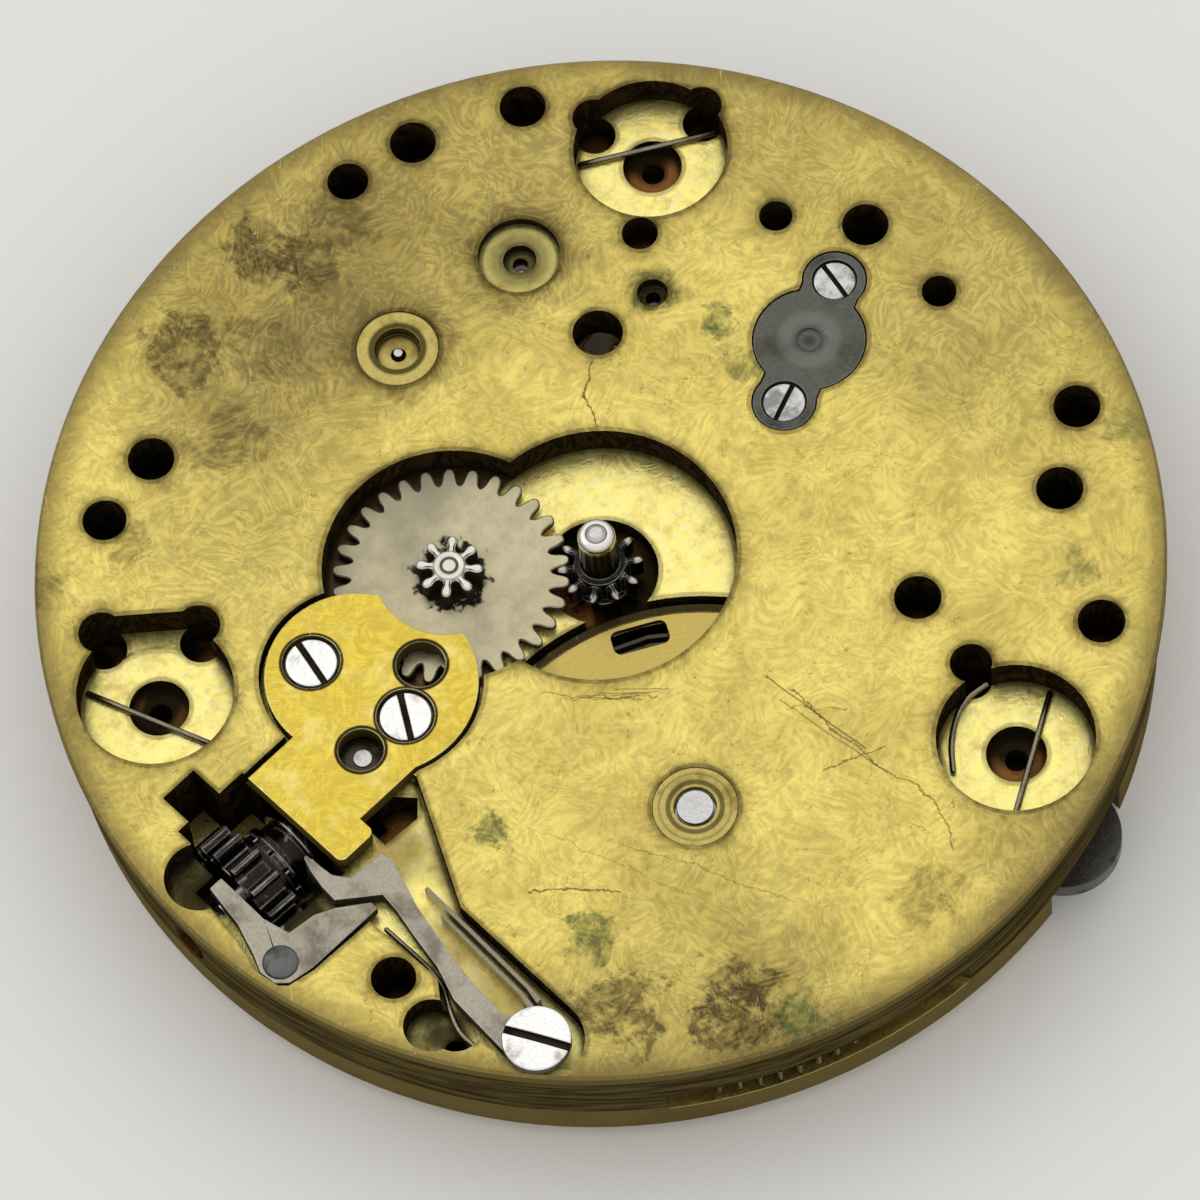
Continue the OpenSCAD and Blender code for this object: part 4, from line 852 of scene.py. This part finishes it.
dress(metal("arbor_steel", (0.60, 0.59, 0.58), (0.34, 0.32, 0.30), 0.35, 0.18, 0.5, 0.2), "centre_arbor",
      "third_arbor", "fourth_arbor", "escape_arbor", "pallet_arbor", "balance_staff", "barrel_arbor",
      "roller", "winding_arbor", "wheel_studs", "hairspring_stud", "crown_core")
dress(metal("pallet_steel", (0.62, 0.62, 0.63), (0.4, 0.39, 0.38), 0.2, 0.2, 0.5, 0.2, brushed=0.3),
      "pallet_fork", "regulator", "click", "click_spring")
dress(metal("blued_steel", (0.08, 0.13, 0.36), (0.04, 0.05, 0.13), 0.3, 0.24, 0.5, 0.1), "hairspring")
# the blued mainspring is painted dark, as shade in the barrel's slot
dress(metal("mainspring_steel_in_shade", (0.07, 0.06, 0.045), (0.03, 0.022, 0.012), 0.5, 0.3, 0.5, 0.1), "mainspring")
# painted shade on the sides of the screw heads
SCREW_WALL_SHADE = (0.05, 0.045, 0.035)
dress(metal("screw_steel", (0.95, 0.94, 0.92), (0.46, 0.43, 0.38), 0.42, 0.15, 0.45, 0.6, wall_shade=SCREW_WALL_SHADE),
      "cover_screws", "spring_screw", "bridge_screws", "ratchet_screw", "click_screw")
dress(metal("cap_screw_steel", (0.62, 0.63, 0.62), (0.26, 0.27, 0.26), 0.6, 0.16, 0.3, 0.5,
            wall_shade=SCREW_WALL_SHADE), "cap_screws")
dress(metal("case_screw_steel", (0.10, 0.095, 0.09), (0.04, 0.035, 0.03), 0.5, 0.32, 0.6, 0.3), "case_screws")
# the floors of the screw slots are painted dark as shade
slot_shade = metal("slot_shade", (0.040, 0.033, 0.024), (0.015, 0.012, 0.008), 0.5, 0.5, 0.4, 0.2)
for name in screws:
    bpy.data.objects[name + "_made"].data.materials.append(slot_shade)
print("train side dressed")


# %% [markdown]
# ## Ruby
# The bearings are clear red stone. It lets a good part of the light through, bends it strongly, and its
# colour clouds slightly.

# %% Ruby
ruby, bench, shader, place, _ = start_material("ruby")
tone = bench.noise(place, 1.6, 3.0)
bench.feed(shader, {"Base Color": bench.mix(tone, (0.60, 0.03, 0.10), (0.85, 0.10, 0.22)),
                    "Roughness": bench.rise(tone, 0.3, 0.7, 0.04, 0.09)})
shader.inputs["Metallic"].default_value = 0.0
shader.inputs["Transmission Weight"].default_value = 0.6
shader.inputs["IOR"].default_value = 1.76
dress(ruby, "jewels", "pallet_stones", "impulse_pin")
print("ruby set")

# %% [markdown]
# ## Steel and gilt of the dial side
# These are the pieces that the photograph shows from close by. The cover is the brightest gilt, the levers
# are worn steel with sides painted dark as shade, and whatever turns near the stem is painted near black as
# shade, with painted glints on its edges and teeth.

# %% Steel and gilt of the dial side
dress(metal("cover_gilt", (0.80, 0.62, 0.085), (0.62, 0.45, 0.07), 0.35, 0.30, 0.9, 0.7, brushed=0.9,
            worn=(0.98, 0.88, 0.50), edge=0.09, dirt_and_shade=0.5, wall_shade=(0.06, 0.042, 0.008), marks=cover_strokes_and_ring_shade),
      "setting_cover")
dress(metal("lid_copper", (0.56, 0.43, 0.12), (0.44, 0.32, 0.085), 0.4, 0.34, 0.8, 0.4, brushed="round",
            centre=BARREL), "barrel_lid")
dress(metal("minute_steel", (0.54, 0.48, 0.31), (0.36, 0.33, 0.23), 0.5, 0.36, 4.0, 0.5,
            worn=(0.74, 0.71, 0.58), wall_shade=(0.030, 0.022, 0.010), marks=star_shade_and_highlight, bump=0.15),
      "minute_wheel")
# the setting wheels are painted dark, with strong corner darkening, as shade under the cover
dress(metal("setting_steel_in_shade", (0.070, 0.055, 0.038), (0.025, 0.019, 0.012), 0.5, 0.30, 0.6, 0.4,
            worn=(0.45, 0.42, 0.34), dirt_and_shade=0.95, reach=1.2), "setting_wheel_outer", "setting_wheel_inner")
# the cannon pinion is painted near black, shade and dark reflection, with its edges painted bright as glints
dress(metal("cannon_steel_painted_dark", (0.016, 0.015, 0.014), (0.008, 0.007, 0.006), 0.4, 0.17, 0.5, 0.3,
            worn=(0.85, 0.83, 0.80), edge=0.05, marks=pipe_highlights), "cannon_pinion")
# the winding pinion and the clutch are painted near black as shade in their slot, with their edges painted
# bright as glints
dress(metal("winding_steel_painted_dark", (0.026, 0.022, 0.020), (0.010, 0.008, 0.006), 0.4, 0.16, 0.5, 0.9,
            worn=(0.78, 0.74, 0.70), edge=0.12, marks=teeth_glints_and_wear), "winding_pinion", "clutch")
dress(metal("lever_steel", (0.40, 0.365, 0.295), (0.22, 0.190, 0.145), 0.5, 0.33, 0.7, 0.7,
            worn=(0.68, 0.65, 0.58), edge=0.06, wall_shade=(0.030, 0.024, 0.015)), "setting_lever", "yoke")
dress(metal("rivet_steel", (0.14, 0.145, 0.14), (0.06, 0.06, 0.055), 0.5, 0.36, 0.4, 0.3), "lever_rivet")
dress(metal("cap_steel", (0.112, 0.113, 0.096), (0.065, 0.063, 0.052), 0.45, 0.36, 0.8, 0.6,
            worn=(0.36, 0.36, 0.33), edge=0.07, wall_shade=(0.012, 0.010, 0.007), marks=cap_ring_and_dimple_shade), "end_cap")
dress(metal("spring_wire_steel", (0.27, 0.24, 0.17), (0.12, 0.10, 0.06), 0.4, 0.25, 0.6, 0.2,
            worn=(0.5, 0.47, 0.4)), "yoke_spring", "wire_spring", "latch_wires")
print("dial side dressed")

# %% [markdown]
# ## The dial plate
# The plate is what the picture is mostly made of: mercury gilt, bright in the middle and on the left, darker
# where fingers and damp reached it and, as painted shade, away from the middle, with brown stains, green
# specks, scratches and a dark line of dirt round every hole. Floors of the recesses stayed bright under other
# parts and are painted brighter still as painted light; walls are painted near black as shade, and the blind
# holes are dark with old oil and painted shade. Height and the direction of the surface tell these places
# apart, and lists of places in millimetres do the rest.

# %% Places on the plate
PLATE_HOLES = [(-11.1, -16.28, .9), (-6.98, -18.12, .9), (-4.02, -18.64, .8), (9.45, -15.02, .9),
               (12.46, -14.32, .85), (-14.78, -5.83, .65), (-16.97, -3.12, .9), (-16.98, .96, .67),
               (-17.27, 8.22, .9), (-14.37, 10.25, .9), (-7.35, 9.79, .9), (-11.59, 15.35, .9),
               (17.33, 7.43, .85), (-12.72, -14.0, .8), (-16.09, -11.43, .8), (-6.88, 13.16, .8),
               (15.71, -10.87, .85), (12.87, -8.49, .85), (-10.53, -8.98, .7), (-6.42, -6.96, .97),
               (0, 0, 5.25), (*MINUTE, 4.85), (*BARREL, 1.62), (*FOURTH, 1.62), (*ESCAPE, 1.6), (*PALLET, .6)]
PLATE_HOLES += [(x, y, 3.0) for x, y in FOOT_PLACES]
UMBER, BROWN, GREEN = (0.17, 0.125, 0.050), (0.060, 0.040, 0.018), (0.060, 0.100, 0.032)
# place, radius, raggedness, strength and colour: first the wide darkenings, partly tarnish and partly painted
# shade away from the bright middle, then the stains
STAINS_AND_SHADE_ZONES = [((1.6, -17.2), 9.5, 0.20, 0.62, UMBER), ((-7.1, -15.6), 9.5, 0.20, 0.62, UMBER),
          ((-18.4, 1.8), 10.0, 0.20, 0.45, UMBER), ((-17.5, -10.0), 8.5, 0.20, 0.45, UMBER),
          ((8.2, -10.8), 7.0, 0.25, 0.32, UMBER), ((5.6, -14.8), 5.0, 0.25, 0.32, UMBER),
          ((7.0, 13.1), 5.0, 0.25, 0.30, UMBER), ((8.5, 18.8), 6.0, 0.25, 0.52, UMBER),
          ((-4.0, 20.8), 5.0, 0.25, 0.45, UMBER), ((13.5, 14.5), 5.0, 0.25, 0.45, UMBER),
          ((19.5, -9.0), 6.5, 0.25, 0.30, UMBER), ((0.85, -14.3), 3.4, 0.5, 0.62, UMBER),
          ((0.45, -18.48), 2.2, 0.5, 0.85, BROWN), ((-0.49, -16.93), 2.1, 0.6, 0.75, BROWN),
          ((-2.6, -17.6), 2.2, 0.6, 0.60, BROWN), ((5.55, -17.72), 2.4, 0.6, 0.80, BROWN),
          ((3.0, -15.6), 2.4, 0.7, 0.50, BROWN), ((6.8, -13.5), 2.2, 0.6, 0.55, BROWN),
          (ESCAPE, 3.4, 0.22, 0.80, BROWN), (FOURTH, 3.2, 0.22, 0.75, BROWN),
          ((-10.1, -4.0), 1.2, 0.7, 0.85, GREEN), ((-9.5, -2.3), 1.1, 0.7, 0.6, GREEN),
          ((-9.2, -6.7), 1.7, 0.3, 0.80, GREEN), ((10.7, 5.6), 1.1, 0.8, 0.80, GREEN),
          ((11.0, 11.4), 1.5, 0.8, 0.80, GREEN), ((9.0, 17.3), 2.6, 0.7, 0.92, BROWN),
          ((7.7, 19.2), 1.6, 0.8, 0.85, GREEN), ((12.0, 14.4), 2.2, 0.7, 0.80, BROWN),
          ((12.5, -13.0), 1.5, 0.7, 0.45, BROWN), ((-12.5, 13.2), 1.2, 0.8, 0.5, GREEN),
          ((-17.9, 10.0), 1.3, 0.8, 0.45, GREEN), ((1.0, 19.2), 1.8, 0.7, 0.45, BROWN),
          ((16.0, -14.0), 1.5, 0.7, 0.5, BROWN)]
# the same below the dial face, where old oil has run over a floor and, round the winding works, painted shade:
# place, radius, strength and colour
SOOT_AND_SHADE, RUST = (0.010, 0.008, 0.004), (0.17, 0.105, 0.028)
OIL_AND_SHADE_POOLS = [((19.8, -0.9), 3.0, 0.97, SOOT_AND_SHADE), ((17.9, 2.6), 2.6, 0.97, SOOT_AND_SHADE), ((16.2, 1.6), 2.4, 0.97, SOOT_AND_SHADE),
             ((13.6, 3.4), 2.2, 0.70, RUST), ((14.1, 8.0), 2.6, 0.60, RUST), ((15.0, 10.9), 2.4, 0.65, RUST),
             ((12.9, 10.6), 2.0, 0.50, RUST), ((17.3, 10.1), 2.0, 0.95, SOOT_AND_SHADE), ((16.5, 8.3), 1.6, 0.6, RUST),
             ((12.4, 5.6), 1.5, 0.6, SOOT_AND_SHADE)]
# from, to, width and strength of each scratch
CRACKS = [((-1.27, 9.19), (-1.41, 13.66), 0.05, 0.75), ((-1.41, 13.66), (-2.02, 16.26), 0.05, 0.7),
          ((-2.02, 16.26), (-1.14, 18.24), 0.05, 0.7), ((0.06, 12.5), (-2.16, 13.42), 0.05, 0.7),
          ((-5.34, -6.22), (-4.24, -5.32), 0.06, 0.8), ((-4.24, -5.32), (-3.77, -3.98), 0.06, 0.8),
          ((5.58, 2.74), (3.03, 5.54), 0.04, 0.55), ((5.2, 3.4), (2.4, 5.9), 0.04, 0.45),
          ((-0.6, 9.6), (-2.2, 11.2), 0.04, 0.5), ((7.5, 9.5), (4.6, 15.5), 0.04, 0.45),
          ((9.6, 6.4), (7.2, 12.6), 0.04, 0.35), ((11.3, 8.35), (9.0, 10.7), 0.06, 0.8)]
# straight ones, which a slipping tool left: five short ones side by side, and two long ones
HATCHES = [((4.6 - 0.3 * i, 3.9 + 0.17 * i + 0.25 * (i % 2)), (3.3 - 0.34 * i, 5.2 + 0.19 * i), 0.035, 0.6)
           for i in range(5)]
HATCHES += [((-1.0, 8.2), (-1.6, 12.9), 0.05, 0.7), ((-0.7, 9.2), (-1.5, 14.2), 0.04, 0.6)]

# %% Plate, in layers
dial_gilt, bench, shader, place, facing = start_material("dial_gilt")
upward = bench.z_of(facing)
depth = depth_of(bench, place)
grains = bench.use(GRAIN, Place=place, Size=1.0)
stroke = bench.use(STROKES, Place=place, Length=0.75)["Stroke"]
wave = bench.wave(place, 0.8, 5.0, 0.68)
mottle = bench.noise(place, 1.3, 6.0, 0.7)
colour = bench.mix(bench.rise(grains["Clouds"], 0.36, 0.64), (0.64, 0.505, 0.130), (0.80, 0.65, 0.175))
colour = bench.mix(bench.rise(mottle, 0.50, 0.72, 0.0, 0.50), colour, (0.42, 0.33, 0.095))
fleck = bench.rise(bench.noise(place, 3.6, 4.0, 0.75), 0.60, 0.74, 0.0, 0.4)
colour = bench.mix(fleck, colour, (0.93, 0.80, 0.30))
colour = bench.shade(colour, bench.times(bench.rise(grains["Grain"], 0.25, 0.75, 0.92, 1.07),
                                         bench.rise(stroke, 0, 1, 0.84, 1.12)))
# short dark ticks, where the gilding is crazed
contour = bench.off(bench.noise(place, 1.5, 2.0, 0.6), 0.5)
crazed = bench.rise(bench.noise(bench.stretch(place, shift=(31, 7, 0)), 0.9, 2.0), 0.55, 0.63, 0.0, 0.5)
colour = bench.mix(bench.times(bench.rise(contour, 0.013, 0.003), crazed), colour, (0.12, 0.09, 0.02))
rim = from_axis(bench, place, (0, 0))
# darker towards the rim: partly tarnish, partly painted shade
ragged_rim = bench.plus(rim, bench.times(grains["Clouds"], 1.8))
colour = bench.mix(bench.rise(ragged_rim, 21.0, 22.5, 0.0, 0.8), colour, (0.14, 0.105, 0.035))
spoiled = bench.rise(mottle, 0.55, 0.75, 0.0, 0.25)
for (x, y), size, ragged, amount, tint in STAINS_AND_SHADE_ZONES:
    mask = bench.use(STAIN, Place=place, Wave=wave, Centre=(x, y, DIAL_FACE), Radius=size,
                     Ragged=ragged)["Mask"]
    if size < 3:
        mask = bench.times(bench.rise(mask, 0.15, 0.75), bench.rise(mottle, 0.34, 0.56, 0.25, 1.0))
    mask = bench.times(mask, bench.rise(stroke, 0.0, 1.0, amount, 0.7 * amount))
    colour = bench.mix(mask, colour, tint)
    spoiled = bench.most(spoiled, bench.times(mask, 0.6))
small_wave = bench.vector("MULTIPLY", wave, (0.2, 0.2, 0.2))
scratches = [(wave, *crack) for crack in CRACKS] + [(small_wave, *hatch) for hatch in HATCHES]
for bend, start, stop, width, amount in scratches:
    line = bench.use(SCRATCH, Place=place, Wave=bend, From=(*start, 0), To=(*stop, 0), Width=width)["Mask"]
    colour = bench.mix(bench.times(line, amount), colour, (0.10, 0.070, 0.018))
lines = bench.use(HAIRLINES, Place=place, Amount=0.8)["Mask"]
colour = bench.mix(bench.times(lines, 0.5), colour, (0.97, 0.88, 0.42))
for x, y, radius in PLATE_HOLES:
    ring = bench.use(GRIME, Place=place, Centre=(x, y, 0), Radius=radius, Width=0.75)["Mask"]
    ring = bench.times(ring, bench.rise(mottle, 0.3, 0.7, 0.15, 0.6))
    colour = bench.mix(ring, colour, (0.12, 0.085, 0.025))
# floors of the recesses, brighter than the face as painted light as well as cleaner gilt, with painted shade
# under the motion work; then the bottoms of the blind holes, dark with old oil and painted shade
floor_tone = bench.mix(bench.rise(mottle, 0.42, 0.75), (0.99, 0.87, 0.27), (0.66, 0.50, 0.13))
floor_tone = bench.mix(bench.rise(stroke, 0.3, 1.0, 0.0, 0.4), floor_tone, (0.99, 0.93, 0.55))
for (x, y), size, amount, tint in OIL_AND_SHADE_POOLS:
    pool = bench.use(STAIN, Place=place, Wave=wave, Centre=(x, y, DIAL_FACE - 0.9), Radius=size,
                     Ragged=0.25)["Mask"]
    floor_tone = bench.mix(bench.times(pool, amount), floor_tone, tint)
shade_under_wheels = bench.times(bench.rise(rim, 5.2, 5.3), bench.rise(from_axis(bench, place, MINUTE), 5.0, 4.9))
floor_tone = bench.mix(shade_under_wheels, floor_tone, (0.11, 0.070, 0.035))
colour = bench.mix(bench.rise(depth, 0.1, 0.25), colour, floor_tone)
for spot, wide, narrow, amount in ((ESCAPE, 1.75, 0.9, 0.72), (FOURTH, 1.1, 0.9, 0.9),
                                   (PALLET, 0.7, 0.4, 0.85)):
    away = from_axis(bench, place, spot)
    sunk = bench.times(bench.rise(away, wide, narrow, 0.0, amount), bench.rise(depth, 0.1, 0.25))
    colour = bench.mix(sunk, colour, (0.030, 0.026, 0.008))
# the bottoms of the blind holes: old oil and painted shade
oil = bench.mix(bench.rise(bench.noise(place, 0.3, 1.0), 0.44, 0.56), (0.014, 0.010, 0.004),
                (0.22, 0.095, 0.026))
colour = bench.mix(bench.rise(depth, 1.62, 1.7), colour, oil)
# walls inside are painted near black as shade, the flange and the band are dark gilt darkened further as
# painted shade, and the train side is plain
wall = upright(bench, facing)
wall_shade_mask = bench.times(wall, bench.rise(rim, 20.95, 20.85))
wall_shade_tone = bench.mix(bench.rise(stroke, 0.2, 0.9), (0.010, 0.007, 0.003), (0.035, 0.022, 0.008))
colour = bench.mix(wall_shade_mask, colour, wall_shade_tone)
turned_lines = bench.noise(bench.stretch(place, (0.30, 0.30, 4.0)), 1.0, 5.0, 0.65)
band = bench.mix(bench.rise(turned_lines, 0.36, 0.62), (0.100, 0.078, 0.028), (0.036, 0.026, 0.009))
band = bench.mix(bench.rise(depth, 0.64, 0.56), band, (0.13, 0.100, 0.036))
side = bench.times(wall, bench.rise(rim, 20.85, 20.95))
colour = bench.mix(side, colour, band)
under = bench.mix(grains["Clouds"], GILT, GILT_DULL)
colour = bench.mix(bench.rise(upward, -0.5, -0.9), colour, under)
# a crisp black line along every edge, broken by the mottling, partly dirt and partly painted shade, and soft
# dirt and painted shade in the corners
edges = bench.use(EDGES, Radius=0.36 * MM)
line = bench.times(bench.rise(edges["Mask"], 0.02, 0.30), bench.rise(mottle, 0.25, 0.55, 0.6, 1.0))
line = bench.times(line, bench.rise(rim, 20.7, 20.5))
colour = bench.mix(bench.times(line, 0.92), colour, (0.018, 0.013, 0.005))
shade_and_dirt_in_corner = bench.use(CORNER_SHADE_AND_DIRT, Reach=0.7)["Mask"]
colour = bench.mix(bench.times(shade_and_dirt_in_corner, 0.85), colour, (0.016, 0.011, 0.005))
soiled = bench.most(bench.most(spoiled, shade_and_dirt_in_corner), bench.most(wall_shade_mask, line))
uneven = bench.plus(grains["Grain"], bench.times(stroke, 0.3))
roughness = bench.plus(bench.rise(uneven, 0.35, 1.0, 0.25, 0.42), bench.times(soiled, 0.28))
matt = bench.most(bench.most(wall_shade_mask, line), side)
matt = bench.most(matt, bench.rise(spoiled, 0.3, 0.7, 0.0, 0.3))
raised = bench.plus(bench.times(grains["Grain"], 0.7), bench.plus(mottle, bench.times(stroke, 0.6)))
sunken = bench.plus(bench.times(lines, 0.5), bench.times(spoiled, 0.5))
finish_metal(bench, shader, colour, roughness, matt, Strength=0.4, Distance=0.02 * MM,
             Height=bench.minus(raised, sunken))
dress(dial_gilt, "main_plate")
print("plate material with", len(dial_gilt.node_tree.nodes), "nodes")
